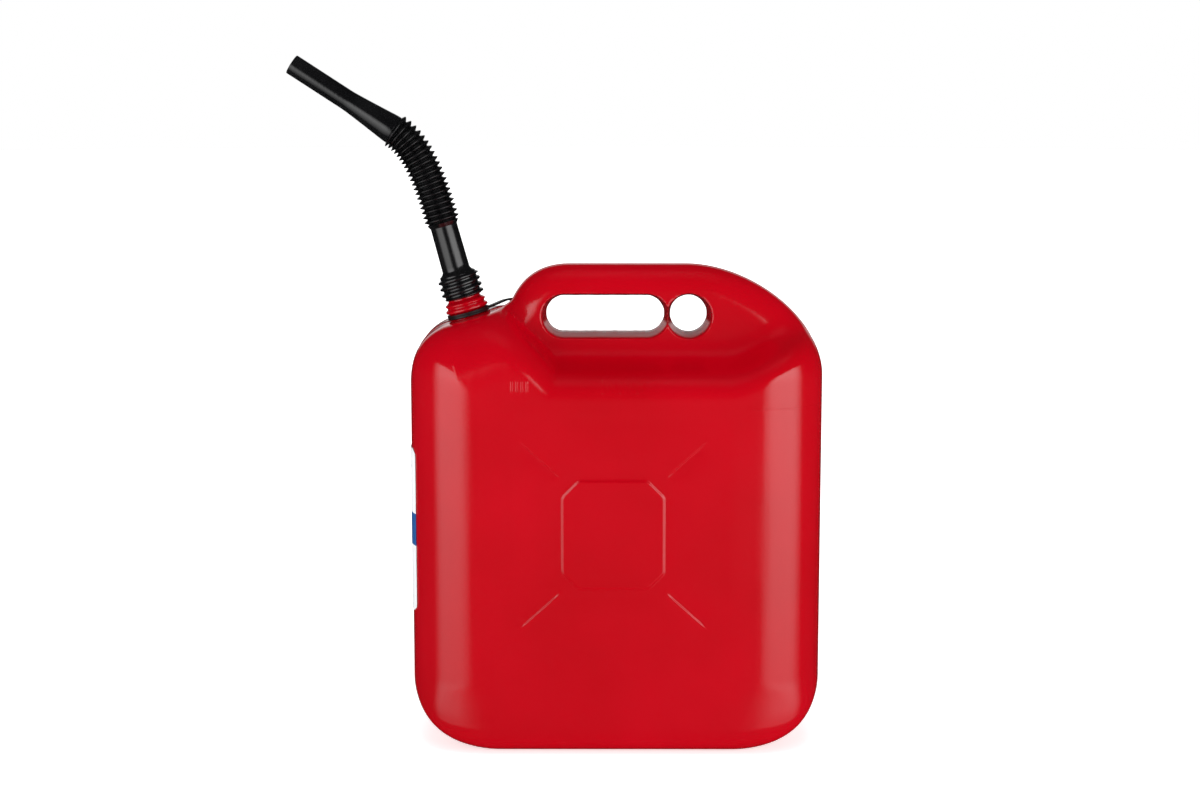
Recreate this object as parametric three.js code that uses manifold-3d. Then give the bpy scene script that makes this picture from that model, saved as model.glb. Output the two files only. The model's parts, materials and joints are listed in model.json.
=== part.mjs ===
// Twenty litre blow-moulded fuel can with a bendable screw-on pouring spout and a tethered
// child-resistant cap. Millimetres, +Z up. The origin is the middle of the can's flat base,
// +X runs towards the end away from the neck and the front face looks along -Y.
import * as THREE from 'three';
import { mergeVertices } from 'three/addons/utils/BufferGeometryUtils.js';
import Module from 'manifold-3d';

const wasm = await Module();
wasm.setup();

// ---- driving dimensions -------------------------------------------------------------------

const can = {
  width: 367,
  depth: 165,
  height: 431,
  wall: 2,
  planRadius: 58,      // the four upright corners, seen from above
  lowerCorner: [80, 62],   // the two lower corners, seen from the front: along, up
  baseEdgeRadius: 22,  // base to front and base to back
  straightTop: 335,    // height where the upright ends start to turn in
};

const crown = {        // front outline above the shoulder
  flat: [-42, 62],     // ends of the level top
  farHeight: 383,      // the far slope leaves the upright end towards this height
  farReach: 119,       // and meets the level top from this far along
  postTurn: [-68, -84, 419],   // two reaches and a height that bend the top into the post
  postFoot: [-93, 400],
  hollow: [-97, -107], // fillet between the post and the shoulder
  shoulderEnd: -152,
  cornerDrop: 4,       // the shoulder's rounded end starts this much lower
  nearTop: 327,        // height where the end below the neck starts to turn in
};

const ridge = {        // the thin top that carries the handle
  halfDepth: 28,
  topRadius: 26,
  flareLow: 318,       // the full depth starts to draw in here
  flareHigh: 366,      // and has reached the ridge here
  flareHandles: [350, 338],
};

const grip = {         // finger opening
  left: -63,
  right: 43,
  centreZ: 386.4,
  radius: 16.2,
  flare: 8,            // the mouth is this much wider all round than the web
  webHalf: 2.5,
  reach: 31,           // the mouths' flare ends this far from the middle plane
};

const storage = { x: 64.5, radius: 16.6 };   // round opening that parks the spout

const neck = {
  x: -132.3,
  z: 384,              // where the neck's axis leaves the shoulder
  tilt: THREE.MathUtils.degToRad(15.3),
  bore: 12.3,
  collarRadius: 16.3,  // stretch that the tether ring turns on
  beadRadius: 19.2,
  stubRadius: 14.6,    // stretch inside the spout's foot
  groove: 17,          // between the bead and the stop
  stopRadius: 18.3,
  height: 34,
};

const tower = { right: -64, edgeRadius: 50 };   // full-depth block below the neck

const foot = { low: 17.3, high: 38.6, root: 16.2, crest: 18.8, inner: 15, pitch: 5.8, plate: 2 };
const tube = { radius: 12.1, wall: 1.8, top: 83.1 };
const bellows = {
  outer: 16,
  inner: 12,
  tilt: THREE.MathUtils.degToRad(57),
  end: [-198.2, 549.5],
  handles: [45, 25],   // how far the centre line's two handles reach
};
const nozzle = { base: 13, tip: 9.2, cone: 46.8, length: 106.3, wall: 1.6 };
const gasket = { inner: 10.9, outer: 14.6, thickness: 2 };
const ring = { inner: 16.9, outer: 19.1, low: 0.8, high: 4.6 };
const strap = { width: 8, thickness: 1.8, loopInner: 9.2, loopOuter: 13.5 };

const cap = {
  x: -90,
  y: 83.7,             // outer face of the knob, just clear of the can's back
  z: 336,
  knob: 10.4,
  stem: 8.8,
  radius: 23,
  wall: 1.8,
  height: 26,
  knobTop: 1.6,        // heights below are measured from the knob's face
  stemTop: 4.8,
  plateTop: 6.8,
  insertLow: 9.2,
  insertPlate: 1.7,
  insertBore: 18,
  insertPlay: 0.5,     // between the two shells
  lip: 1.4,
};

const label = { low: 123, high: 270, halfWidth: 49, gap: 0.3, film: 0.35 };
const liner = { radius: 17.4, low: 11.2, high: 12.4 };
const gap = 0.3;       // between neighbouring pieces that touch on the real can
const beyond = 20;     // how far a cutting form runs past what it cuts
const endless = 1000;  // length of a form that others cut to size

// ---- helpers ------------------------------------------------------------------------------

/** Turns a closed three.js geometry into a solid for booleans. */
function solidOf(geometry) {
  const bare = geometry.clone();
  bare.deleteAttribute('normal');
  bare.deleteAttribute('uv');
  const merged = mergeVertices(bare, 1e-4);
  return new wasm.Manifold(new wasm.Mesh({
    numProp: 3,
    vertProperties: merged.attributes.position.array,
    triVerts: new Uint32Array(merged.index.array),
  }));
}

/** Turns a solid back into a flat-shaded geometry. */
function geometryOf(solid) {
  const mesh = solid.getMesh();
  const geometry = new THREE.BufferGeometry();
  geometry.setAttribute('position', new THREE.BufferAttribute(mesh.vertProperties, 3));
  geometry.setIndex(new THREE.BufferAttribute(mesh.triVerts, 1));
  return geometry;
}

/** Moves every point of a closed anticlockwise outline inwards by a distance. */
function insetOutline(points, distance) {
  if (distance === 0) return points;
  const count = points.length;
  return points.map((point, i) => {
    const before = points[(i + count - 1) % count];
    const after = points[(i + 1) % count];
    const along = point.clone().sub(before).normalize();
    const onward = after.clone().sub(point).normalize();
    const bisector = new THREE.Vector2(-along.y - onward.y, along.x + onward.x).normalize();
    const spread = Math.max(0.5, bisector.dot(new THREE.Vector2(-along.y, along.x)));
    return point.clone().addScaledVector(bisector, distance / spread);
  });
}

/** Drops repeated points, the closing one included. */
function tidyOutline(points) {
  const kept = points.filter((p, i) => i === 0 || p.distanceTo(points[i - 1]) > 1e-3);
  if (kept[0].distanceTo(kept[kept.length - 1]) < 1e-3) kept.pop();
  return THREE.ShapeUtils.isClockWise(kept) ? kept.reverse() : kept;
}

/** Extrudes an outline by a length, centred on the outline's plane. */
function prism(points, length) {
  const geometry = new THREE.ExtrudeGeometry(new THREE.Shape(points), {
    depth: length, bevelEnabled: false,
  });
  return geometry.translate(0, 0, -length / 2);
}

/** A prism whose outline is drawn from the front, as x and z. */
function frontPrism(points, depth) {
  return prism(points, depth).rotateX(Math.PI / 2);
}

/** A prism whose outline is drawn from the end, as y and z. */
function endPrism(points, length) {
  const turn = new THREE.Matrix4().makeBasis(
    new THREE.Vector3(0, 1, 0), new THREE.Vector3(0, 0, 1), new THREE.Vector3(1, 0, 0));
  return prism(points, length).applyMatrix4(turn);
}

/** Rounded rectangle around a centre, as points. */
function roundedRectangle(x, y, halfX, halfY, radius, segments = 8) {
  const shape = new THREE.Shape();
  shape.absarc(x + halfX - radius, y - halfY + radius, radius, -Math.PI / 2, 0);
  shape.absarc(x + halfX - radius, y + halfY - radius, radius, 0, Math.PI / 2);
  shape.absarc(x - halfX + radius, y + halfY - radius, radius, Math.PI / 2, Math.PI);
  shape.absarc(x - halfX + radius, y - halfY + radius, radius, Math.PI, Math.PI * 1.5);
  return tidyOutline(shape.getPoints(segments / 2));
}

/** Stadium lying along x, as points. A stadium as long as it is high is a circle. */
function stadium(left, right, z, radius) {
  const shape = new THREE.Shape();
  shape.absarc(right - radius, z, radius, -Math.PI / 2, Math.PI / 2);
  shape.absarc(left + radius, z, radius, Math.PI / 2, Math.PI * 1.5);
  return tidyOutline(shape.getPoints(8));
}

/** Turned piece about +Z from [radius, height] pairs. */
function turned(profile, segments = 32) {
  const points = profile.map(([radius, height]) => new THREE.Vector2(radius, height));
  return new THREE.LatheGeometry(points, segments).rotateX(Math.PI / 2);
}

/** Closed ring profile from an outer list of [radius, height] pairs and the bore's radii. */
function pipe(outer, innerLow, innerHigh) {
  const low = outer[0][1];
  const high = outer[outer.length - 1][1];
  return [[innerLow, low], ...outer, [innerHigh, high], [innerLow, low]];
}

/** The neck's frame: its axis as +Z, +X along the shoulder, its foot at the origin. */
const neckFrame = new THREE.Matrix4().makeRotationY(-neck.tilt).setPosition(neck.x, 0, neck.z);

/** Stands a piece made about +Z on the neck's axis. */
function ontoNeck(geometry) {
  return geometry.applyMatrix4(neckFrame);
}

/** A point on the neck's axis, in the can's frame. */
function onNeckAxis(height) {
  return new THREE.Vector3(0, 0, height).applyMatrix4(neckFrame);
}

/** A point of the can's frame, as the neck's frame sees it. */
function inNeckFrame(x, y, z) {
  return new THREE.Vector3(x, y, z).applyMatrix4(neckFrame.clone().invert());
}

// ---- can body -----------------------------------------------------------------------------

/** Front outline of the can: rounded base, sloping shoulder, handle and rounded far end. */
function canOutline() {
  const half = can.width / 2;
  const [along, up] = can.lowerCorner;
  const shoulder = (x) => neck.z + (x - neck.x) * Math.tan(neck.tilt);
  const shape = new THREE.Shape();
  shape.moveTo(-half + along, 0);
  shape.lineTo(half - along, 0);
  shape.absellipse(half - along, up, along, up, -Math.PI / 2, 0);
  shape.lineTo(half, can.straightTop);
  const [nearEnd, farEnd] = crown.flat;
  const [topTurn, sideTurn, turnHeight] = crown.postTurn;
  const [hollowX, hollowEnd] = crown.hollow;
  shape.bezierCurveTo(half, crown.farHeight, crown.farReach, can.height, farEnd, can.height);
  shape.lineTo(nearEnd, can.height);
  shape.bezierCurveTo(topTurn, can.height, sideTurn, turnHeight, ...crown.postFoot);
  shape.quadraticCurveTo(hollowX, shoulder(hollowX), hollowEnd, shoulder(hollowEnd));
  shape.lineTo(crown.shoulderEnd, shoulder(crown.shoulderEnd));
  shape.quadraticCurveTo(-half, shoulder(-half) - crown.cornerDrop, -half, crown.nearTop);
  shape.lineTo(-half, up);
  shape.absellipse(-half + along, up, along, up, Math.PI, Math.PI * 1.5);
  return tidyOutline(shape.getPoints(8));
}

/** End profile: full depth below, drawn in to the thin ridge above. */
function ridgeOutline() {
  const half = can.depth / 2;
  const edge = can.baseEdgeRadius;
  const thin = ridge.halfDepth;
  const shoulder = can.height - ridge.topRadius;
  const [low, high] = ridge.flareHandles;
  const shape = new THREE.Shape();
  shape.moveTo(-half + edge, 0);
  shape.absarc(half - edge, edge, edge, -Math.PI / 2, 0);
  shape.lineTo(half, ridge.flareLow);
  shape.bezierCurveTo(half, low, thin + 2, high, thin, ridge.flareHigh);
  shape.lineTo(ridge.topRadius, shoulder);
  shape.absarc(0, shoulder, ridge.topRadius, 0, Math.PI);
  shape.lineTo(-thin, ridge.flareHigh);
  shape.bezierCurveTo(-thin - 2, high, -half, low, -half, ridge.flareLow);
  shape.absarc(-half + edge, edge, edge, Math.PI, Math.PI * 1.5);
  return tidyOutline(shape.getPoints(6));
}

/** End profile of the block below the neck, with its top edges rounded. */
function towerOutline() {
  const half = can.depth / 2;
  const edge = tower.edgeRadius;
  const shape = new THREE.Shape();
  shape.moveTo(-half, -endless);
  shape.lineTo(half, -endless);
  shape.absarc(half - edge, -edge, edge, 0, Math.PI / 2);
  shape.absarc(-half + edge, -edge, edge, Math.PI / 2, Math.PI);
  return tidyOutline(shape.getPoints(6));
}

/** The whole blow-moulded form without its openings, drawn in by a wall thickness. */
function canForm(inset) {
  const half = can.depth / 2;
  const middle = (-can.width / 2 + tower.right) / 2;
  const reach = tower.right - middle;
  const front = solidOf(frontPrism(insetOutline(canOutline(), inset), can.depth + beyond));
  const plan = roundedRectangle(
    0, 0, can.width / 2 - inset, half - inset, can.planRadius - inset);
  const ends = solidOf(prism(plan, endless));
  const thinTop = solidOf(endPrism(insetOutline(ridgeOutline(), inset), can.width + beyond));
  const blockPlan = roundedRectangle(
    middle, 0, reach - inset, half - inset, can.planRadius - inset);
  const blockTop = insetOutline(towerOutline(), inset);
  const block = solidOf(prism(blockPlan, endless))
    .intersect(solidOf(ontoNeck(endPrism(blockTop, endless))))
    .intersect(solidOf(endPrism(insetOutline(blockLower(), inset), can.width + beyond)));
  return front.intersect(ends).intersect(thinTop.add(block));
}

/** End profile that gives the block below the neck the same rounded base as the rest. */
function blockLower() {
  const half = can.depth / 2;
  const edge = can.baseEdgeRadius;
  const shape = new THREE.Shape();
  shape.moveTo(-half + edge, 0);
  shape.absarc(half - edge, edge, edge, -Math.PI / 2, 0);
  shape.lineTo(half, can.height);
  shape.lineTo(-half, can.height);
  shape.absarc(-half + edge, edge, edge, Math.PI, Math.PI * 1.5);
  return tidyOutline(shape.getPoints(6));
}

/** One opening through the ridge, flared to both faces, with its sides moved out by a margin. */
function flaredOpening(left, right, radius, margin) {
  const points = stadium(left - margin, right + margin, grip.centreZ, radius + margin);
  const funnel = new THREE.ExtrudeGeometry(new THREE.Shape(points), {
    depth: can.depth, bevelEnabled: true, bevelSegments: 1,
    bevelThickness: grip.reach - grip.webHalf, bevelSize: grip.flare,
  });
  const front = funnel.clone().translate(0, 0, grip.reach).rotateX(Math.PI / 2);
  const back = funnel.clone().translate(0, 0, -can.depth - grip.reach).rotateX(Math.PI / 2);
  const web = frontPrism(points, 4 * grip.webHalf);
  return solidOf(front).add(solidOf(back)).add(solidOf(web));
}

/** Both openings of the handle. */
function handleOpenings(margin) {
  const fingers = flaredOpening(grip.left, grip.right, grip.radius, margin);
  const parking = flaredOpening(
    storage.x - storage.radius, storage.x + storage.radius, storage.radius, margin);
  return fingers.add(parking);
}

/** Neck with the tether's collar, a retaining bead and the stub that the spout screws onto. */
function neckSolid() {
  const outer = [
    [neck.collarRadius, -can.wall], [neck.collarRadius, 5.2], [neck.beadRadius, 6.4],
    [neck.beadRadius, 8.2], [neck.groove, 9.6], [neck.groove, 10.8], [neck.stopRadius, 12],
    [neck.stopRadius, 13], [neck.collarRadius, 14.6], [neck.stubRadius, 16],
    [neck.stubRadius, neck.height],
  ];
  return solidOf(ontoNeck(turned(pipe(outer, neck.bore, neck.bore), 36)));
}

/** Hollow can: outer form, cavity, openings and neck. */
function canBody() {
  const outside = canForm(0).subtract(handleOpenings(0));
  const cavity = canForm(can.wall).subtract(handleOpenings(can.wall));
  const bore = new THREE.CylinderGeometry(neck.bore, neck.bore, neck.height + 2 * beyond, 36);
  bore.rotateX(Math.PI / 2).translate(0, 0, neck.height / 2);
  return geometryOf(
    outside.subtract(cavity).add(neckSolid()).subtract(solidOf(ontoNeck(bore))));
}

/** Printed film round the upright end below the neck. */
function sideLabel() {
  const grown = (by) => solidOf(prism(roundedRectangle(
    0, 0, can.width / 2 + by, can.depth / 2 + by, can.planRadius + by, 16), endless));
  const film = grown(label.gap + label.film).subtract(grown(label.gap));
  const window = new THREE.BoxGeometry(60, 2 * label.halfWidth, label.high - label.low);
  window.translate(-can.width / 2, 0, (label.high + label.low) / 2);
  return geometryOf(film.intersect(solidOf(window)));
}

// ---- spout --------------------------------------------------------------------------------

/** Foot with its moulded thread rings, and the smooth tube above it. */
function spoutBase() {
  const outer = [[foot.root, foot.low]];
  for (let crest = foot.low + 2.4; crest < foot.high - 1; crest += foot.pitch) {
    outer.push([foot.root, crest - 1.9], [foot.crest, crest - 0.6], [foot.crest, crest + 0.6],
      [foot.root, crest + 1.9]);
  }
  outer.push([tube.radius, foot.high + 0.9], [tube.radius, tube.top]);
  const bore = tube.radius - tube.wall;
  const ceiling = foot.high - foot.plate;
  const profile = [[foot.inner, foot.low], ...outer, [bore, tube.top], [bore, ceiling],
    [foot.inner, ceiling], [foot.inner, foot.low]];
  return ontoNeck(turned(profile, 36));
}

/** Sealing washer between the neck's rim and the foot's ceiling. */
function spoutGasket() {
  const low = neck.height + gap;
  const high = low + gasket.thickness - gap;
  return ontoNeck(turned([[gasket.inner, low], [gasket.outer, low], [gasket.outer, high],
    [gasket.inner, high], [gasket.inner, low]], 36));
}

/** The bendable stretch's centre line, from the tube's top to the nozzle. */
function bellowsCurve() {
  const start = onNeckAxis(tube.top);
  const end = new THREE.Vector3(bellows.end[0], 0, bellows.end[1]);
  const up = new THREE.Vector3(-Math.sin(neck.tilt), 0, Math.cos(neck.tilt));
  const out = nozzleDirection();
  const [first, second] = bellows.handles;
  return new THREE.CubicBezierCurve3(
    start.clone().addScaledVector(up, gap), start.clone().addScaledVector(up, first),
    end.clone().addScaledVector(out, -second), end.clone().addScaledVector(out, -gap));
}

/** Unit vector along the nozzle, towards its tip. */
function nozzleDirection() {
  return new THREE.Vector3(-Math.sin(bellows.tilt), 0, Math.cos(bellows.tilt));
}

/** Envelope of the corrugated stretch, as a plain bent pipe. */
function spoutBellows() {
  const section = new THREE.Shape();
  section.absarc(0, 0, bellows.outer, 0, Math.PI * 2);
  const hole = new THREE.Path();
  hole.absarc(0, 0, bellows.inner, 0, Math.PI * 2, true);
  section.holes.push(hole);
  return new THREE.ExtrudeGeometry(section, {
    steps: 16, curveSegments: 10, extrudePath: bellowsCurve(), bevelEnabled: false,
  });
}

/** Tapering nozzle that ends in a plain pipe. */
function spoutNozzle() {
  const outer = [[nozzle.base, 0], [nozzle.base - 0.4, 6], [nozzle.tip, nozzle.cone],
    [nozzle.tip, nozzle.length]];
  const bore = nozzle.tip - nozzle.wall;
  const profile = [[nozzle.base - nozzle.wall, 0], ...outer, [bore, nozzle.length],
    [bore, nozzle.cone], [nozzle.base - nozzle.wall, 0]];
  return turned(profile, 32).rotateY(-bellows.tilt).translate(bellows.end[0], 0, bellows.end[1]);
}

// ---- tether and cap -----------------------------------------------------------------------

/** Ring of the tether, loose round the neck's collar. */
function tetherRing() {
  return ontoNeck(turned([[ring.inner, ring.low], [ring.outer, ring.low],
    [ring.outer, ring.high], [ring.inner, ring.high], [ring.inner, ring.low]], 36));
}

/** Flat strap from the ring, back over the shoulder and down, ending in the cap's loop. */
function tetherStrap() {
  const loopY = cap.y + 3.2;
  const lying = [[16.2, 12.2, 1.6], [22, 19.5, 1.6], [27.5, 29, 1.6], [33.5, 39, 1.4],
    [38.5, 49, -0.6], [41.5, 58, -4.4], [43, 68, -11], [43.5, 77, -20.5]];
  const route = new THREE.CatmullRomCurve3([
    ...lying.map((point) => new THREE.Vector3(...point)),
    inNeckFrame(cap.x + 0.3, loopY - 2, 366),
    inNeckFrame(cap.x, loopY - 0.3, 357),
    inNeckFrame(cap.x, loopY, cap.z + strap.loopOuter - 1.5),
  ]);
  const half = { x: strap.thickness / 2, y: strap.width / 2 };
  const section = new THREE.Shape([
    new THREE.Vector2(-half.x, -half.y), new THREE.Vector2(half.x, -half.y),
    new THREE.Vector2(half.x, half.y), new THREE.Vector2(-half.x, half.y),
  ]);
  const band = ontoNeck(new THREE.ExtrudeGeometry(section, {
    steps: 40, extrudePath: route, bevelEnabled: false,
  }));
  const loop = turned([[strap.loopInner, -half.x], [strap.loopOuter, -half.x],
    [strap.loopOuter, half.x], [strap.loopInner, half.x], [strap.loopInner, -half.x]], 36);
  loop.rotateX(Math.PI / 2).translate(cap.x, loopY, cap.z);
  return geometryOf(solidOf(band).add(solidOf(loop)));
}

/** Lays a cap piece, made about +Z from its knob, along +Y at the cap's place. */
function ontoCap(geometry) {
  return geometry.rotateX(-Math.PI / 2).translate(cap.x, cap.y, cap.z);
}

/** Outer shell: knob, stem, top plate, skirt and the lip that keeps the inner cap in. */
function capOuterShell() {
  const inside = cap.radius - cap.wall;
  const lip = inside - cap.lip;
  return ontoCap(turned([[0, 0], [cap.knob, 0], [cap.knob, cap.knobTop],
    [cap.stem, cap.knobTop], [cap.stem, cap.stemTop], [cap.radius - 1.5, cap.stemTop],
    [cap.radius, cap.stemTop + 1.5], [cap.radius, cap.height], [lip, cap.height],
    [lip, cap.height - cap.lip], [inside, cap.height - cap.lip - 0.2], [inside, cap.plateTop],
    [0, cap.plateTop]], 36));
}

/** Threaded inner cap, free to slide towards the outer shell's plate. */
function capInnerShell() {
  const outside = cap.radius - cap.wall - cap.insertPlay;
  const step = cap.height - 2;
  const mouth = cap.height - 0.4;
  const plate = cap.insertLow + cap.insertPlate;
  return ontoCap(turned([[0, cap.insertLow], [outside - 1, cap.insertLow],
    [outside, cap.insertLow + 1], [outside, step], [outside - 1.3, step],
    [outside - 1.3, mouth], [cap.insertBore, mouth], [cap.insertBore, plate], [0, plate]], 36));
}

/** Soft disc that seals against the neck's rim. */
function capLiner() {
  return ontoCap(turned([[0, liner.low], [liner.radius, liner.low], [liner.radius, liner.high],
    [0, liner.high]], 36));
}

// ---- assembly -----------------------------------------------------------------------------

const redPolyethylene = { color: 0xc80014, roughness: 0.38, metalness: 0 };
const blackPolyethylene = { color: 0x1b1b1d, roughness: 0.35, metalness: 0 };
const softBlack = { color: 0x242426, roughness: 0.55, metalness: 0 };
const nitrileRubber = { color: 0x111112, roughness: 0.8, metalness: 0 };
const foamLiner = { color: 0xd9d7cf, roughness: 0.9, metalness: 0 };
const printedFilm = { color: 0xe9ecf2, roughness: 0.45, metalness: 0 };

const pieces = [
  ['can_body', canBody(), redPolyethylene],
  ['side_label', sideLabel(), printedFilm],
  ['spout_base', spoutBase(), blackPolyethylene],
  ['spout_gasket', spoutGasket(), nitrileRubber],
  ['spout_bellows', spoutBellows(), blackPolyethylene],
  ['spout_nozzle', spoutNozzle(), blackPolyethylene],
  ['tether_ring', tetherRing(), softBlack],
  ['tether_strap', tetherStrap(), softBlack],
  ['cap_outer_shell', capOuterShell(), blackPolyethylene],
  ['cap_inner_shell', capInnerShell(), blackPolyethylene],
  ['cap_liner', capLiner(), foamLiner],
];

const group = new THREE.Group();
for (const [name, geometry, finish] of pieces) {
  const mesh = new THREE.Mesh(geometry, new THREE.MeshStandardMaterial(finish));
  mesh.name = name;
  group.add(mesh);
}

export default group;
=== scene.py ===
"""Red blow-moulded fuel can with a corrugated pouring spout and a tethered screw cap.

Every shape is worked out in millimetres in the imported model's frame and stored in metres.
The can stands on the plane z = 0, its front face looks along -Y, and the neck is at -X.
"""

import json
import logging
import math
from dataclasses import dataclass, field
from enum import Enum
from typing import Any, Callable, Sequence

import bmesh
import bpy
import numpy as np
from mathutils import Matrix, Vector
from mathutils.geometry import delaunay_2d_cdt
from mathutils.kdtree import KDTree


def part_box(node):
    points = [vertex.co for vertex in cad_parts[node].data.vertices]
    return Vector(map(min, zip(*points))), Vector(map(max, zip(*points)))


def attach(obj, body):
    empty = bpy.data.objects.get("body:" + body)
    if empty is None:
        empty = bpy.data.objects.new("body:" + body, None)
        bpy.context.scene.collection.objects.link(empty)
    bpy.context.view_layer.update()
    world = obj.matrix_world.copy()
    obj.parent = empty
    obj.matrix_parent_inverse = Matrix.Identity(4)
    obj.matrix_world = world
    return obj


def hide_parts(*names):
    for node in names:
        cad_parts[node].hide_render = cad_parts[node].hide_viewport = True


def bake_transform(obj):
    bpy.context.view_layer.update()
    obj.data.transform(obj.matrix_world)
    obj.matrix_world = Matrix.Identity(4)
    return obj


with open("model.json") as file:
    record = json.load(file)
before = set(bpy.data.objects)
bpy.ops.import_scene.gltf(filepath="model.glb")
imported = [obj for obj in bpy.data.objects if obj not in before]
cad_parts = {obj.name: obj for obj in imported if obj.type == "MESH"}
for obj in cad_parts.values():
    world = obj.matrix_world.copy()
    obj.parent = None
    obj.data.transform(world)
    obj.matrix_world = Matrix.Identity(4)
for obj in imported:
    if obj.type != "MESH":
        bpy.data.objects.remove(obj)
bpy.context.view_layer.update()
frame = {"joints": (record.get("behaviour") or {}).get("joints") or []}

LOG = logging.getLogger("fuel_can")
MM = 0.001
Rings = np.ndarray    # rows of points round a piece: (rows, points in a row, 3), in mm
Mesh2D = tuple[np.ndarray, np.ndarray, list[list[int]]]


# ---- numbers and outlines -----------------------------------------------------------------

def ease(low: float, high: float, value: np.ndarray | float) -> np.ndarray:
    """Climbs smoothly from 0 at low to 1 at high."""
    t = np.clip((value - low) / (high - low), 0.0, 1.0)
    return t * t * (3 - 2 * t)


def soft_max(a: np.ndarray, b: np.ndarray, width: np.ndarray | float) -> np.ndarray:
    """The larger of two fields, with the crease between them rounded.

    Args:
        a: First field.
        b: Second field.
        width: How far apart the fields still melt into each other.

    Returns:
        The joined field.
    """
    width = np.maximum(width, 1e-6)
    mix = np.clip(0.5 + 0.5 * (a - b) / width, 0.0, 1.0)
    return b + (a - b) * mix + width * mix * (1 - mix)


def bezier(points: Sequence[Sequence[float]], count: int = 40) -> np.ndarray:
    """Points along a Bezier curve of any degree, both ends included.

    Args:
        points: Control points.
        count: How many points to give.

    Returns:
        Array of points.
    """
    t = np.linspace(0, 1, count)[:, None]
    layers = [np.tile(np.asarray(point, float), (count, 1)) for point in points]
    while len(layers) > 1:
        layers = [a * (1 - t) + b * t for a, b in zip(layers, layers[1:])]
    return layers[0]


def arc(centre: Sequence[float], radii: Sequence[float], start: float, end: float,
        count: int = 40) -> np.ndarray:
    """Points along an elliptical arc.

    Args:
        centre: Middle of the ellipse.
        radii: Its two half axes.
        start: First angle in degrees.
        end: Last angle in degrees.
        count: How many points to give.

    Returns:
        Array of points.
    """
    turn = np.radians(np.linspace(start, end, count))
    return np.column_stack([centre[0] + radii[0] * np.cos(turn),
                            centre[1] + radii[1] * np.sin(turn)])


def evenly_spaced(outline: np.ndarray, spacing: float) -> np.ndarray:
    """Spaces the points of a closed outline evenly.

    Args:
        outline: Closed outline without its closing point.
        spacing: Wanted distance between neighbours.

    Returns:
        The same outline with even steps.
    """
    ring = np.vstack([outline, outline[:1]])
    travelled = np.concatenate([[0], np.cumsum(np.linalg.norm(np.diff(ring, axis=0), axis=1))])
    stops = np.linspace(0, travelled[-1], int(travelled[-1] / spacing) + 1)[:-1]
    return np.column_stack([np.interp(stops, travelled, ring[:, k]) for k in (0, 1)])


def outward(outline: np.ndarray) -> np.ndarray:
    """Unit normals that point out of an anticlockwise outline.

    Args:
        outline: Closed outline.

    Returns:
        One normal for each point.
    """
    along = np.roll(outline, -1, 0) - np.roll(outline, 1, 0)
    along /= np.linalg.norm(along, axis=1)[:, None]
    return np.column_stack([along[:, 1], -along[:, 0]])


def inside(points: np.ndarray, outline: np.ndarray) -> np.ndarray:
    """Tells which points lie inside a closed outline.

    Args:
        points: Points to test.
        outline: Closed outline.

    Returns:
        True for every point inside.
    """
    start, end = outline, np.roll(outline, -1, 0)
    x, z = points[:, :1], points[:, 1:]
    spans = (start[:, 1] > z) != (end[:, 1] > z)
    rise = np.where(end[:, 1] == start[:, 1], 1e-9, end[:, 1] - start[:, 1])
    crossing = start[:, 0] + (z - start[:, 1]) * (end[:, 0] - start[:, 0]) / rise
    return (np.sum(spans & (x < crossing), axis=1) % 2).astype(bool)


def depth_inside(points: np.ndarray, outline: np.ndarray) -> np.ndarray:
    """Distance of each point from an outline, positive inside.

    Args:
        points: Points to measure.
        outline: Closed outline.

    Returns:
        One distance for each point.
    """
    step = np.roll(outline, -1, 0) - outline
    length = (step ** 2).sum(1)
    result = np.empty(len(points))
    for block in np.array_split(np.arange(len(points)), len(points) // 2000 + 1):
        offset = points[block][:, None, :] - outline[None]
        t = np.clip((offset * step).sum(-1) / length, 0, 1)
        away = np.sqrt(((offset - t[..., None] * step) ** 2).sum(-1)).min(1)
        result[block] = np.where(inside(points[block], outline), away, -away)
    return result


def nearest_gap(points: np.ndarray, placed: np.ndarray) -> np.ndarray:
    """Distance from each point to the nearest one already placed.

    Args:
        points: Points to measure.
        placed: Points that stand already.

    Returns:
        One distance for each point.
    """
    tree = KDTree(len(placed))
    for number, (across, up) in enumerate(placed):
        tree.insert((across, up, 0), number)
    tree.balance()
    return np.array([tree.find((across, up, 0))[2] for across, up in points])


def helical_ridge(angle: np.ndarray, height: np.ndarray, rise: tuple[float, float],
                  fall: tuple[float, float], shift: float = 0.0) -> np.ndarray:
    """How far a thread's ridge stands, from 0 to 1.

    Args:
        angle: Angle round the piece.
        height: Height along its axis, in mm.
        rise: Share of a turn where the ridge starts and where it is full.
        fall: Share of a turn where it starts to drop and where it ends.
        shift: Share of a turn that the thread is turned by.

    Returns:
        The ridge's share of its full height.
    """
    phase = (height / Spout.pitch - angle / (2 * math.pi) + shift) % 1.0
    return ease(*rise, phase) * (1 - ease(*fall, phase))


def hexagonal(low: Sequence[float], high: Sequence[float], spacing: float) -> np.ndarray:
    """Points of an even triangular grid that fills a rectangle.

    Args:
        low: Lower left corner.
        high: Upper right corner.
        spacing: Distance between neighbours.

    Returns:
        Array of points.
    """
    rows = np.arange(low[1], high[1], spacing * math.sqrt(3) / 2)
    columns = np.arange(low[0], high[0], spacing)
    shift = np.where(np.arange(len(rows)) % 2, spacing / 2, 0.0)
    return np.column_stack([(columns[None, :] + shift[:, None]).ravel(),
                            np.repeat(rows, len(columns))])


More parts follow.
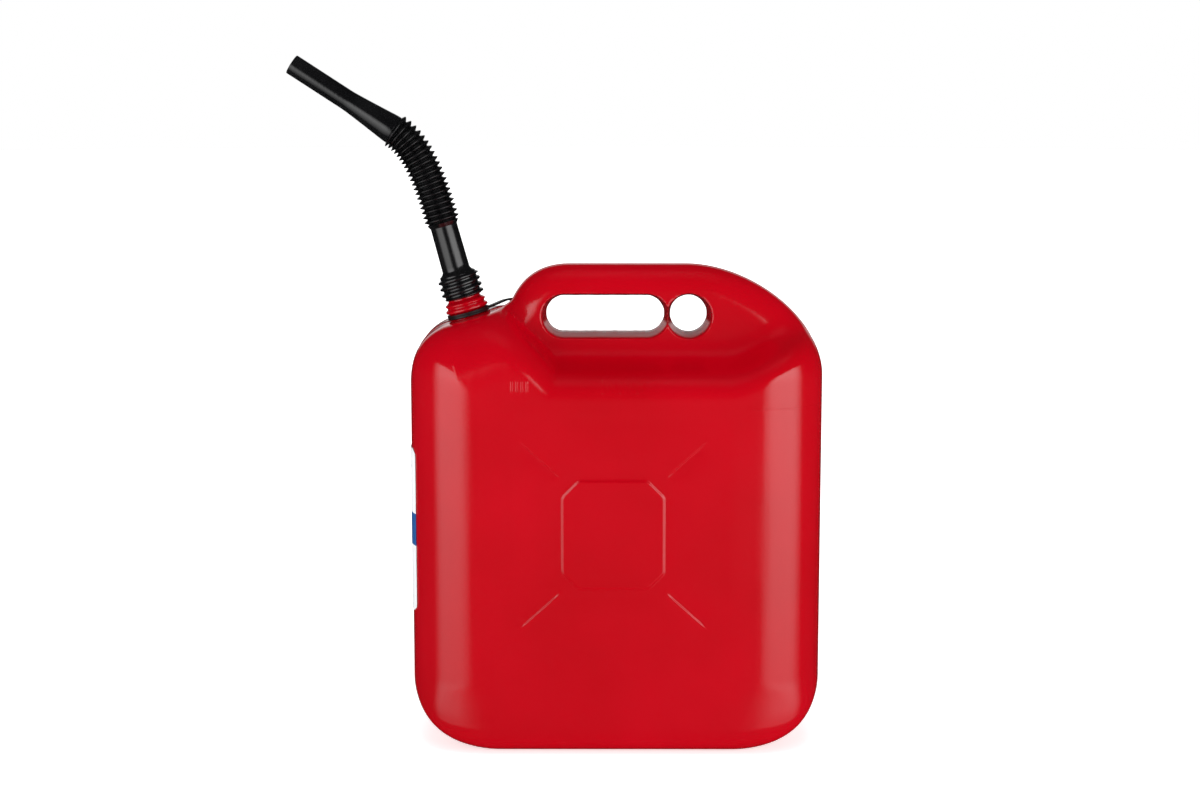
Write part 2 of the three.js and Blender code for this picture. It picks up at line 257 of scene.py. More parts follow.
def softened(profile: Sequence[Sequence[float]], radius: float, steps: int = 3) -> np.ndarray:
    """Rounds every corner of a closed profile, as a mould does.

    Args:
        profile: Corner points.
        radius: How far along each side the rounding reaches at most.
        steps: Points in each rounded corner, less one.

    Returns:
        The rounded profile.
    """
    corners = np.asarray(profile, float)
    made: list[np.ndarray] = []
    for before, corner, after in zip(np.roll(corners, 1, 0), corners, np.roll(corners, -1, 0)):
        back, on = before - corner, after - corner
        reach = min(radius, 0.45 * np.linalg.norm(back), 0.45 * np.linalg.norm(on))
        if corner[0] < 1e-6 or reach < 1e-6:
            made.append(corner[None])
            continue
        made.append(bezier([corner + back / np.linalg.norm(back) * reach, corner,
                            corner + on / np.linalg.norm(on) * reach], steps + 1))
    return np.vstack(made)


# ---- meshes -------------------------------------------------------------------------------

def turned(profile: np.ndarray, segments: int = 96,
           relief: Callable[[np.ndarray, np.ndarray], np.ndarray] | None = None) -> Rings:
    """Turns a profile about +Z.

    Args:
        profile: Radius and height of each row.
        segments: Points round each row.
        relief: Adds to the radius, from the angle and the row number.

    Returns:
        The rows of points.
    """
    angle = np.linspace(0, 2 * math.pi, segments, endpoint=False)[None, :]
    radius = np.repeat(profile[:, :1], segments, axis=1)
    if relief is not None:
        radius = radius + relief(angle, np.arange(len(profile))[:, None])
    height = np.repeat(profile[:, 1:2], segments, axis=1)
    return np.stack([radius * np.cos(angle), radius * np.sin(angle), height], axis=-1)


def moved(rings: np.ndarray, place: Matrix) -> np.ndarray:
    """Moves points by a matrix that works in millimetres."""
    matrix = np.array(place)
    return rings @ matrix[:3, :3].T + matrix[:3, 3]


def closed_faces(rows: int, around: int, joined: bool) -> list[list[int]]:
    """Faces between rows of points.

    Args:
        rows: Number of rows.
        around: Points in each row; each row closes on itself.
        joined: True if the last row meets the first, False if both ends are capped.

    Returns:
        Vertex numbers of every face.
    """
    faces = []
    for row in range(rows if joined else rows - 1):
        low, high = row * around, (row + 1) % rows * around
        faces += [[low + k, low + (k + 1) % around, high + (k + 1) % around, high + k]
                  for k in range(around)]
    if not joined:
        faces.append(list(range(around))[::-1])
        faces.append([(rows - 1) * around + k for k in range(around)])
    return faces


def build_piece(name: str, points: np.ndarray, faces: list[list[int]],
                material: bpy.types.Material, crease: float = 40) -> bpy.types.Object:
    """Makes a shaded object of a closed mesh.

    Args:
        name: Name of the piece.
        points: Vertex places in millimetres.
        faces: Vertex numbers of every face.
        material: Its finish.
        crease: Edges that turn by more than this many degrees stay sharp.

    Returns:
        The new object, in the scene.
    """
    mesh = bpy.data.meshes.new(name)
    mesh.from_pydata((points.reshape(-1, 3) * MM).tolist(), [], faces)
    work = bmesh.new()
    work.from_mesh(mesh)
    bmesh.ops.remove_doubles(work, verts=work.verts, dist=1e-7)
    bmesh.ops.dissolve_degenerate(work, edges=work.edges, dist=1e-8)
    bmesh.ops.recalc_face_normals(work, faces=work.faces)
    work.to_mesh(mesh)
    work.free()
    mesh.shade_smooth()
    mesh.set_sharp_from_angle(angle=math.radians(crease))
    mesh.materials.append(material)
    piece = bpy.data.objects.new(name, mesh)
    bpy.context.scene.collection.objects.link(piece)
    LOG.info("%s: %d faces", name, len(mesh.polygons))
    return piece


def build_turned(name: str, rings: Rings, place: Matrix,
                 material: bpy.types.Material, crease: float = 40) -> bpy.types.Object:
    """Makes an object of a closed profile's rows.

    Args:
        name: Name of the piece.
        rings: Rows whose last one meets the first.
        place: Where the piece goes, in millimetres.
        material: Its finish.
        crease: Edges that turn by more than this many degrees stay sharp.

    Returns:
        The new object.
    """
    return build_piece(name, moved(rings, place), closed_faces(*rings.shape[:2], joined=True),
                       material, crease)


def joint(name: str) -> dict[str, Any]:
    """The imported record's entry for a joint."""
    return next(entry for entry in frame["joints"] if entry["name"] == name)


def axis_frame(origin: Sequence[float], axis: Sequence[float]) -> Matrix:
    """Frame with +Z along an axis and +Y as near the can's +Y as it can be.

    Args:
        origin: Its origin, in millimetres.
        axis: Direction of its +Z.

    Returns:
        The frame as a matrix.
    """
    up = Vector(axis).normalized()
    guide = Vector((0, 1, 0)) if abs(up.y) < 0.9 else Vector((0, 0, 1))
    side = guide.cross(up).normalized()
    over = up.cross(side)
    matrix = Matrix((side, over, up)).transposed().to_4x4()
    matrix.translation = Vector(origin)
    return matrix


def mm_box(node: str) -> tuple[Vector, Vector]:
    """A CAD node's lowest and highest corners in millimetres."""
    low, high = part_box(node)
    return low / MM, high / MM


# ---- finishes -----------------------------------------------------------------------------

def linear(colour: str) -> tuple[float, float, float, float]:
    """Turns an sRGB hex colour into linear red, green, blue and alpha.

    Args:
        colour: Six hex digits after a hash.

    Returns:
        The four linear values.
    """
    values = [int(colour[k:k + 2], 16) / 255 for k in (1, 3, 5)]
    return (*[v / 12.92 if v <= 0.04045 else ((v + 0.055) / 1.055) ** 2.4 for v in values], 1.0)


def add_node(tree: bpy.types.NodeTree, kind: str, inputs: dict[Any, Any] | None = None,
             **settings: Any) -> bpy.types.Node:
    """Adds a node with its settings and links.

    Args:
        tree: Where it goes.
        kind: Its type, without the ShaderNode that every one starts with.
        inputs: For each input's name or number, a value or the socket it is fed from.
        **settings: Properties of the node itself.

    Returns:
        The new node.
    """
    node = tree.nodes.new("ShaderNode" + kind)
    for key, value in settings.items():
        setattr(node, key, value)
    for key, value in (inputs or {}).items():
        if isinstance(value, bpy.types.NodeSocket):
            tree.links.new(value, node.inputs[key])
        else:
            node.inputs[key].default_value = value
    return node


def empty_material(name: str) -> tuple[bpy.types.Material, bpy.types.NodeTree]:
    """Makes a material with nothing in its node tree.

    Args:
        name: Name of the material.

    Returns:
        The material and its tree.
    """
    material = bpy.data.materials.new(name)
    material.use_nodes = True
    material.node_tree.nodes.clear()
    return material, material.node_tree


@dataclass(frozen=True)
class MouldedPlastic:
    """A thermoplastic surface as it left its mould, drifting slowly in shade."""
    name: str
    colour: str
    drift: str                # colour of the slow cloudy patches
    worn: str                 # colour of rubbed edges and fine scuffs
    roughness: float
    scuffed: float            # roughness where it has been handled
    ior: float
    peel_mm: float = 2.2      # pitch of the orange peel
    peel_depth_mm: float = 0.02
    flow_mm: float = 7.0      # pitch of the fine lines that run up the moulding
    flow_depth_mm: float = 0.02
    flow_axis: int = 2        # the axis that the lines run along
    cloud_mm: float = 70.0
    scuff_mm: float = 16.0
    wear: float = 0.35
    haze: float = 0.1         # how much of the worn colour shows in the scuffs
    glow: float = 0.0         # how much light goes in and comes out again
    witness_mm: float | None = None    # height of a fine joint line across the mould
    witness_from_mm: float = 118.0     # the line shows only beyond this place along the can
    witness_half_mm: float = 0.6
    witness_depth_mm: float = 0.3
    cloud_range: tuple[float, float] = (0.35, 0.68)    # noise where the drift starts and ends
    scuff_range: tuple[float, float] = (0.60, 0.72)
    edge_range: tuple[float, float] = (0.53, 0.62)     # pointiness that counts as an edge
    flow_squash: float = 0.03          # how much the flow lines are drawn out
    glow_mm: float = 2.0               # how far red light travels in the wall

    def material(self) -> bpy.types.Material:
        """Builds the material once and then gives the same one.

        Returns:
            The material.
        """
        known = bpy.data.materials.get(self.name)
        if known is not None:
            return known
        material, tree = empty_material(self.name)
        place = add_node(tree, "TexCoord").outputs["Object"]
        cloud = add_node(tree, "TexNoise", {
            "Vector": place, "Scale": 1 / (self.cloud_mm * MM), "Detail": 3.0})
        shade = add_node(tree, "MapRange", {
            "Value": cloud.outputs["Fac"], "From Min": self.cloud_range[0],
            "From Max": self.cloud_range[1]})
        body = add_node(tree, "Mix", {
            0: shade.outputs["Result"], 6: linear(self.colour), 7: linear(self.drift)},
            data_type="RGBA")
        scuff = add_node(tree, "TexNoise", {
            "Vector": place, "Scale": 1 / (self.scuff_mm * MM), "Detail": 8.0,
            "Roughness": 0.72, "Distortion": 1.4})
        rubbed = add_node(tree, "MapRange", {
            "Value": scuff.outputs["Fac"], "From Min": self.scuff_range[0],
            "From Max": self.scuff_range[1]})
        edge = add_node(tree, "MapRange", {
            "Value": add_node(tree, "NewGeometry").outputs["Pointiness"],
            "From Min": self.edge_range[0], "From Max": self.edge_range[1],
            "To Max": self.wear})
        wear = add_node(tree, "Math", {
            0: rubbed.outputs["Result"], 1: self.haze, 2: edge.outputs["Result"]},
            operation="MULTIPLY_ADD", use_clamp=True)
        colour = add_node(tree, "Mix", {
            0: wear.outputs[0], 6: body.outputs[2], 7: linear(self.worn)}, data_type="RGBA")
        gloss = add_node(tree, "MapRange", {
            "Value": rubbed.outputs["Result"], "To Min": self.roughness,
            "To Max": self.scuffed})
        stretch = [1.0, 1.0, 1.0]
        stretch[self.flow_axis] = self.flow_squash
        flow = add_node(tree, "TexNoise", {
            "Vector": add_node(tree, "Mapping", {
                "Vector": place, "Scale": stretch}).outputs[0],
            "Scale": 1 / (self.flow_mm * MM), "Detail": 2.0})
        peel = add_node(tree, "TexNoise", {
            "Vector": place, "Scale": 1 / (self.peel_mm * MM), "Detail": 1.5})
        lines = add_node(tree, "Bump", {
            "Height": flow.outputs["Fac"], "Strength": 1.0,
            "Distance": self.flow_depth_mm * MM * self.flow_mm})
        skin = add_node(tree, "Bump", {
            "Height": peel.outputs["Fac"], "Strength": 1.0, "Normal": lines.outputs[0],
            "Distance": self.peel_depth_mm * MM * self.peel_mm})
        normal = skin.outputs[0]
        if self.witness_mm is not None:
            axes = add_node(tree, "SeparateXYZ", {0: place})
            near = add_node(tree, "Math", {
                0: axes.outputs[2], 1: self.witness_mm * MM, 2: self.witness_half_mm * MM},
                operation="COMPARE")
            beyond = add_node(tree, "Math", {
                0: axes.outputs[0], 1: self.witness_from_mm * MM}, operation="GREATER_THAN")
            away = add_node(tree, "Math", {
                0: near.outputs[0], 1: beyond.outputs[0]}, operation="MULTIPLY")
            normal = add_node(tree, "Bump", {
                "Height": away.outputs[0], "Strength": 0.5, "Normal": normal,
                "Distance": self.witness_depth_mm * MM}).outputs[0]
        shader = add_node(tree, "BsdfPrincipled", {
            "Base Color": colour.outputs[2], "Roughness": gloss.outputs["Result"],
            "IOR": self.ior, "Normal": normal, "Subsurface Weight": self.glow,
            "Subsurface Radius": (1.0, 0.15, 0.1), "Subsurface Scale": self.glow_mm * MM})
        add_node(tree, "OutputMaterial", {"Surface": shader.outputs[0]})
        return material


@dataclass(frozen=True)
class PrintedFilm:
    """A pressed-on polypropylene film with flat printed bands and pale rows of bars."""
    name: str
    paper: str
    band: str
    ink: str
    band_low_mm: float
    band_high_mm: float
    row_mm: float = 7.0       # from one row of bars to the next
    half_width_mm: float = 36.0
    bar_share: float = 0.3    # how much of a row its bar fills
    word_mm: float = 6.0      # length of the bars and of the breaks between them
    word_cut: float = 0.45
    crinkle_mm: float = 25.0
    crinkle_depth_mm: float = 0.2
    gloss: tuple[float, float] = (0.28, 0.46)

    def material(self) -> bpy.types.Material:
        """Builds the film's material: paper white, one deep band, short rows of bars.

        Returns:
            The material.
        """
        material, tree = empty_material(self.name)
        place = add_node(tree, "TexCoord").outputs["Object"]
        axes = add_node(tree, "SeparateXYZ", {0: place})
        inked = add_node(tree, "Math", {
            0: axes.outputs[2], 1: (self.band_low_mm + self.band_high_mm) / 2 * MM,
            2: (self.band_high_mm - self.band_low_mm) / 2 * MM}, operation="COMPARE")
        row = add_node(tree, "Math", {
            0: add_node(tree, "Math", {
                0: axes.outputs[2], 1: 1 / (self.row_mm * MM)}, operation="MULTIPLY").outputs[0]},
            operation="FRACT")
        thin = add_node(tree, "Math", {0: row.outputs[0], 1: self.bar_share},
                        operation="LESS_THAN")
        across = add_node(tree, "Math", {
            0: axes.outputs[1], 1: 0.0, 2: self.half_width_mm * MM}, operation="COMPARE")
        breaks = add_node(tree, "TexNoise", {
            "Vector": add_node(tree, "Mapping", {
                "Vector": place, "Scale": (0.0, 1.0, 0.45)}).outputs[0],
            "Scale": 1 / (self.word_mm * MM), "Detail": 0.0})
        word = add_node(tree, "Math", {
            0: breaks.outputs["Fac"], 1: self.word_cut}, operation="GREATER_THAN")
        bars = add_node(tree, "Math", {
            0: add_node(tree, "Math", {0: thin.outputs[0], 1: across.outputs[0]},
                        operation="MULTIPLY").outputs[0], 1: word.outputs[0]},
            operation="MULTIPLY")
        printed = add_node(tree, "Mix", {
            0: bars.outputs[0], 6: linear(self.paper), 7: linear(self.ink)}, data_type="RGBA")
        banded = add_node(tree, "Mix", {
            0: inked.outputs[0], 6: printed.outputs[2], 7: linear(self.band)},
            data_type="RGBA")
        handled = add_node(tree, "TexNoise", {
            "Vector": place, "Scale": 1 / (self.crinkle_mm * MM), "Detail": 5.0})
        gloss = add_node(tree, "MapRange", {
            "Value": handled.outputs["Fac"], "To Min": self.gloss[0],
            "To Max": self.gloss[1]})
        crinkle = add_node(tree, "Bump", {
            "Height": handled.outputs["Fac"], "Strength": 0.4,
            "Distance": self.crinkle_depth_mm * MM})
        shader = add_node(tree, "BsdfPrincipled", {
            "Base Color": banded.outputs[2], "Roughness": gloss.outputs["Result"],
            "IOR": 1.49, "Normal": crinkle.outputs[0]})
        add_node(tree, "OutputMaterial", {"Surface": shader.outputs[0]})
        return material


# High-density polyethylene blown in a polished mould: saturated red, glossy with soft edges
# to its highlights, faint orange peel and fine lines that ran up the soft tube of plastic.
# The orange peel's pitch is 3 mm, about twice the real one, so that it still shows.
RED_POLYETHYLENE = MouldedPlastic(
    "red_blow_moulded_polyethylene", "#a0000d", "#a80011", "#bd2a30", roughness=0.125,
    scuffed=0.15, ior=1.54, peel_mm=3.0, peel_depth_mm=0.012, flow_mm=11, flow_depth_mm=0.01,
    cloud_mm=120, scuff_mm=14, wear=0.2, haze=0.02, glow=0.04, witness_mm=311)
# Low-density polyethylene blown into the spout: near black and shiny, bright at its edges.
BLACK_POLYETHYLENE = MouldedPlastic(
    "black_blow_moulded_polyethylene", "#09090a", "#101011", "#2c2c2f", roughness=0.15,
    scuffed=0.24, ior=1.6, peel_mm=1.6, peel_depth_mm=0.02, flow_mm=3, flow_depth_mm=0.02,
    cloud_mm=30, scuff_mm=8, wear=0.12)
# Injection-moulded polypropylene of the cap: satin black with a fine even skin.
CAP_POLYPROPYLENE = MouldedPlastic(
    "black_injection_moulded_polypropylene", "#111113", "#19191b", "#404044", roughness=0.36,
    scuffed=0.5, ior=1.49, peel_mm=0.9, peel_depth_mm=0.04, cloud_mm=18, scuff_mm=6, wear=0.4)
# Soft tether plastic, moulded in a blasted cavity: dull black, greyer where it has bent.
TETHER_POLYETHYLENE = MouldedPlastic(
    "soft_black_polyethylene", "#0c0c0d", "#151516", "#38383b", roughness=0.42,
    scuffed=0.55, ior=1.51, peel_mm=0.8, peel_depth_mm=0.05, cloud_mm=15, scuff_mm=7, wear=0.45)
# Moulded nitrile rubber: matt black that scatters light at the rim.
NITRILE_RUBBER = MouldedPlastic(
    "moulded_nitrile_rubber", "#101011", "#1a1a1b", "#2c2c2e", roughness=0.72,
    scuffed=0.82, ior=1.52, peel_mm=0.6, peel_depth_mm=0.06, cloud_mm=9, scuff_mm=5)
# Cut foamed polyethylene: off-white, soft and finely pitted.
FOAM_LINER = MouldedPlastic(
    "foamed_polyethylene_liner", "#dcdad2", "#cfccc2", "#f1f0ea", roughness=0.78,
    scuffed=0.88, ior=1.5, peel_mm=0.7, peel_depth_mm=0.22, cloud_mm=10, scuff_mm=4)


# ---- can body -----------------------------------------------------------------------------

class Face(Enum):
    """The two halves that the mould presses."""
    FRONT = -1
    BACK = 1


@dataclass
class CanBody:
    """Blow-moulded can: two pressed halves that meet at a seam, drawn in to a thin handle."""
    end_radius: float = 58.0
    base_radius: float = 22.0
    top_radius: float = 50.0           # edges of the block below the neck
    lower_corner: tuple[float, float] = (80.0, 62.0)
    straight_top: float = 335.0
    near_top: float = 327.0
    crown_flat: tuple[float, float] = (-42.0, 62.0)
    tilt: float = 15.3                 # of the shoulder, in degrees
    ridge_half: float = 28.0
    ridge_top_half: float = 26.0
    flare: tuple[float, float] = (318.0, 366.0)
    far_lift: float = 31.0             # how much higher the flare starts at the far end
    grip: tuple[float, float] = (-63.0, 43.0)
    grip_height: float = 386.4
    grip_radius: float = 16.2
    parking: float = 64.5
    parking_radius: float = 16.6
    web_half: float = 2.5
    funnel_slope: float = 7.0
    lip: float = 5.0
    tower_right: float = -60.0
    tower_edge: float = 36.0
    tower_lean: float = 1.0
    seam: float = 0.35                 # height of the parting line's bead
    sag: float = 0.5                   # slow waves that thin walls settle into
    relief_depth: float = 1.0
    plateau: tuple[float, float, float, float] = (-47.0, 41.3, 152.0, 247.0)
    panel: tuple[float, float, float, float] = (-96.0, 97.0, 92.0, 305.0)
    chamfer: float = 14.0
    panel_chamfer: float = 10.0
    panel_depth: float = 0.3
    groove_wall: tuple[float, float] = (-0.2, 1.3)     # where the ring drops away
    groove_fade: tuple[float, float] = (1.6, 24.0)     # where it has run out into the face
    arm_wall: tuple[float, float] = (-0.7, 0.7)
    arm_fade: tuple[float, float] = (1.0, 16.0)
    arm_share: float = 0.8             # of the ring's depth
    mark_relief: float = 0.2
    mark_edge: tuple[float, float] = (0.4, 1.3)
    lead: float = -107.0               # where the shoulder turns up to the handle
    hollow: float = -97.0
    foot: tuple[float, float] = (-93.0, 400.0)
    block_reach: float = 260.0         # far end of the block's outline, past the can
    block_split: float = 60.0
    far_span: tuple[float, float] = (96.0, 176.0)
    handle_from: float = 405.0         # from here up the handle keeps one thickness
    base_rise: tuple[float, float] = (8.0, 66.0)
    top_blend: tuple[float, float] = (327.0, 375.0)
    lean_from: float = 322.0
    lean_pivot: float = 352.0
    tower_wall: float = 4.0            # steepness of the block's inner wall
    block_falloff: float = 6.0
    join_width: float = 9.0
    join_span: tuple[float, float] = (318.0, 352.0)
    calm_edge: tuple[float, float] = (18.0, 60.0)      # the waves die out near the edges
    calm_top: tuple[float, float] = (300.0, 330.0)
    rim_half: float = 0.9              # half the flat land that carries the parting line
    bead_half: float = 0.35
    least_half: float = 0.95
    rim_step: float = 3.4              # vertex spacing along the outline
    hole_step: float = 1.8
    hole_trim: float = 0.16            # unevenness of the hand-trimmed openings
    edge_rows: int = 14                # rows of vertices across a rounded edge
    arm_start: np.ndarray = field(default_factory=lambda: np.array([47.5, 52.3]))
    arm_end: np.ndarray = field(default_factory=lambda: np.array([81.5, 83.0]))
    grid: float = 4.0
    neck_point: tuple[float, float] = (-132.3, 384.0)
    box: tuple[Vector, Vector] = field(default_factory=lambda: mm_box("can_body"))

    def shoulder(self, x: np.ndarray | float) -> np.ndarray | float:
        """Height of the sloping shoulder above a place along the can."""
        return self.neck_point[1] + (x - self.neck_point[0]) * math.tan(math.radians(self.tilt))

    def outline(self) -> np.ndarray:
        """Front outline, anticlockwise, drawn in by the height of the seam's bead.

        Returns:
            Points in x and z.
        """
        half, height = self.box[1].x, self.box[1].z
        along, up = self.lower_corner
        lead, hollow, foot = self.lead, self.hollow, self.foot
        points = np.vstack([
            arc((half - along, up), (along, up), -90, 0),
            bezier([(half, self.straight_top), (half, 383), (119, height),
                    (self.crown_flat[1], height)], 80),
            bezier([(self.crown_flat[0], height), (-68, height), (-84, 419), foot], 50),
            bezier([foot, (hollow, self.shoulder(hollow)), (lead, self.shoulder(lead))], 16),
            bezier([(-152, self.shoulder(-152)), (-half, self.shoulder(-half) - 4),
                    (-half, self.near_top)], 40),
            arc((along - half, up), (along, up), 180, 270)])
        even = evenly_spaced(points, 1.5)
        return even - outward(even) * self.seam

    def block_outline(self, outline: np.ndarray) -> np.ndarray:
        """The outline with the handle left off, so that the shoulder runs straight on.

        Args:
            outline: The can's outline.

        Returns:
            Points in x and z.
        """
        far = self.block_reach
        near = outline[outline[:, 0] < self.lead]
        high = near[:, 1] > self.block_split
        return np.vstack([[[self.lead, self.seam], [far, self.seam], [far, self.shoulder(far)]],
                          near[high], near[~high]])

    def ridge_width(self, z: np.ndarray) -> np.ndarray:
        """Half depth of the can: full below, drawn in to the handle above.

        Args:
            z: Heights.

        Returns:
            One half depth for each height.
        """
        full, below, above = self.box[1].y, -50.0, 500.0
        curve = bezier([(self.flare[0], full), (350, full), (338, self.ridge_half + 2),
                        (self.flare[1], self.ridge_half)], 60)
        heights = np.concatenate([[below], curve[:, 0], [self.handle_from, above]])
        widths = np.concatenate([[full], curve[:, 1], [self.ridge_top_half] * 2])
        return np.interp(z, heights, widths)

    def raised(self, points: np.ndarray) -> np.ndarray:
        """Height to read the flare at: the far end's flare starts higher up."""
        return points[:, 1] - self.far_lift * ease(*self.far_span, points[:, 0])

    def edge_radius(self, z: np.ndarray, raised: np.ndarray) -> np.ndarray:
        """Radius that rounds the faces into the outline at a height."""
        low = self.base_radius + (self.end_radius - self.base_radius) * ease(*self.base_rise, z)
        return -soft_max(-low, -(self.ridge_width(raised) - 1.0), 4.0)

    def rounding(self, z: np.ndarray) -> np.ndarray:
        """Radius that rounds the block's edges at a height."""
        return self.end_radius + (self.top_radius - self.end_radius) * ease(*self.top_blend, z)

    def block_width(self, x: np.ndarray, z: np.ndarray) -> np.ndarray:
        """Half depth of the block below the neck: it leans and rounds off to the handle.

        Args:
            x: Places along the can.
            z: Their heights.

        Returns:
            One half depth for each place.
        """
        radius = self.tower_edge
        x = x + self.tower_lean * (np.maximum(z, self.lean_from) - self.lean_pivot)
        past = np.clip(x - (self.tower_right - radius), 0, radius)
        flat = self.box[1].y - radius
        width = flat + np.sqrt(radius ** 2 - past ** 2)
        return np.where(x > self.tower_right, flat - (x - self.tower_right) * self.tower_wall,
                        width)

    def hole_distance(self, points: np.ndarray) -> np.ndarray:
        """Distance from the nearer of the two handle openings, negative inside.

        Args:
            points: Places in x and z.

        Returns:
            One distance for each place.
        """
        reach = self.grip_radius
        fingers = np.hypot(points[:, 0] - np.clip(points[:, 0], self.grip[0] + reach,
                                                  self.grip[1] - reach),
                           points[:, 1] - self.grip_height) - reach
        round_hole = np.hypot(points[:, 0] - self.parking,
                              points[:, 1] - self.grip_height) - self.parking_radius
        return np.minimum(fingers, round_hole)

    def plateau_distance(self, points: np.ndarray, corners: tuple[float, float, float, float],
                         chamfer: float) -> np.ndarray:
        """Distance outside a rectangle with cut corners.

        Args:
            points: Places in x and z.
            corners: Its left, right, bottom and top.
            chamfer: How much each corner is cut.

        Returns:
            One distance for each place, negative inside.
        """
        left, right, low, high = corners
        across = np.abs(points[:, 0] - (left + right) / 2) - (right - left) / 2
        up = np.abs(points[:, 1] - (low + high) / 2) - (high - low) / 2
        cut = (across + up + chamfer) / math.sqrt(2)
        return soft_max(soft_max(across, up, 2.0), cut, 2.0)

    def relief(self, points: np.ndarray) -> np.ndarray:
        """Depth of the stiffening grooves: a ring, four arms and a shallow panel.

        Args:
            points: Places in x and z.

        Returns:
            How far the face is pressed in.
        """
        ring = self.plateau_distance(points, self.plateau, self.chamfer)
        rim = self.plateau_distance(points, self.panel, self.panel_chamfer)
        groove = ease(*self.groove_wall, ring) * (1 - ease(*self.groove_fade, ring))
        arms = np.zeros(len(points))
        for start, end in self.arms():
            length = np.linalg.norm(end - start)
            along = (end - start) / length
            offset = points - start
            travel = offset @ along
            aside = offset @ np.array([-along[1], along[0]])
            aside *= -np.sign(along[0]) * np.sign(along[1])
            shape = ease(*self.arm_wall, aside) * (1 - ease(*self.arm_fade, aside))
            ends = ease(-3, 4, travel) * (1 - ease(-8, 2, travel - length))
            arms = np.maximum(arms, shape * ends)
        return (self.relief_depth * np.maximum(groove, self.arm_share * arms)
                + self.panel_depth * (1 - ease(-5, 2, rim)))

    def arms(self) -> list[tuple[np.ndarray, np.ndarray]]:
        """Start and end of the four slanting grooves.

        Returns:
            Pairs of points, from the plateau's corners to the panel's.
        """
        left, right, low, high = self.plateau
        middle = np.array([left + right, low + high]) / 2
        return [(middle + self.arm_start * np.array(way), middle + self.arm_end * np.array(way))
                for way in ((1, -1), (1, 1), (-1, -1), (-1, 1))]

    def marks(self) -> list[tuple[float, float, float]]:
        """Raised level marks on the front.

        Returns:
            For each mark its place, the height of its middle and its half length.
        """
        middle = [(-91.0 + 4.4 * k, 331.0, 4.0) for k in range(4)]
        far = [(-12.0 + 5.0 * k, 331.5, 4.6 if k % 3 else 6.2) for k in range(8)]
        return middle + far

    def mark_height(self, points: np.ndarray) -> np.ndarray:
        """How far the level marks stand out of the front face.

        Args:
            points: Places in x and z.

        Returns:
            One height for each place.
        """
        height = np.zeros(len(points))
        for x, z, half in self.marks():
            away = np.hypot(points[:, 0] - x,
                            points[:, 1] - np.clip(points[:, 1], z - half, z + half))
            height = np.maximum(height, self.mark_relief * (1 - ease(*self.mark_edge, away)))
        return height

    def half_depth(self, points: np.ndarray, outlines: tuple[np.ndarray, np.ndarray],
                   edge: np.ndarray) -> np.ndarray:
        """How far the face stands from the seam's plane.

        Args:
            points: Places in x and z.
            outlines: The can's outline and the block's.
            edge: Known distance from the outline, or a negative number where it isn't known.

        Returns:
            One half depth for each place.
        """
        x, z = points[:, 0], points[:, 1]
        known = edge >= 0
        depth = np.where(known, edge, 0.0)
        depth[~known] = np.maximum(depth_inside(points[~known], outlines[0]), 0)
        block_depth = depth_inside(points, outlines[1])
        block_depth = np.where(known & (x < self.lead), depth, block_depth)
        raised = self.raised(points)
        radius = self.edge_radius(z, raised)
        within = np.maximum(radius - depth, 0)
        thin = self.ridge_width(raised) - radius + np.sqrt(np.maximum(radius ** 2 - within ** 2, 0))
        round_top = self.rounding(z)
        within = np.maximum(round_top - np.maximum(block_depth, 0), 0)
        block = (self.block_width(x, z) - round_top + np.sqrt(round_top ** 2 - within ** 2)
                 + np.minimum(block_depth, 0) * self.block_falloff)
        joined = soft_max(thin, block, self.join_width * ease(*self.join_span, z))
        funnel = self.web_half + self.funnel_slope * np.maximum(self.hole_distance(points), 0)
        joined = -soft_max(-joined, -funnel, self.lip)
        # crossed waves, the long ones about 200 mm from crest to crest and the short ones 110 mm
        settle = (np.sin(x / 31 + 0.6) * np.cos(z / 43 + 1.1)
                  + 0.6 * np.sin(x / 17 - z / 37 + 2.0)) / 3.2 - 0.5
        calm = ease(*self.calm_edge, depth) * (1 - ease(*self.calm_top, z))
        return joined + self.sag * settle * calm - self.relief(points) * calm

    def opening(self, left: float, right: float, reach: float, count: int) -> np.ndarray:
        """Outline of an opening in the handle, clockwise.

        Args:
            left: Middle of its left end.
            right: Middle of its right end.
            reach: Radius of both ends.
            count: Points round each end.

        Returns:
            Points in x and z.
        """
        return np.vstack([
            arc((middle, self.grip_height), (reach, reach), start, end, count)
            for middle, start, end in ((right, 90, -90), (left, 270, 90))])

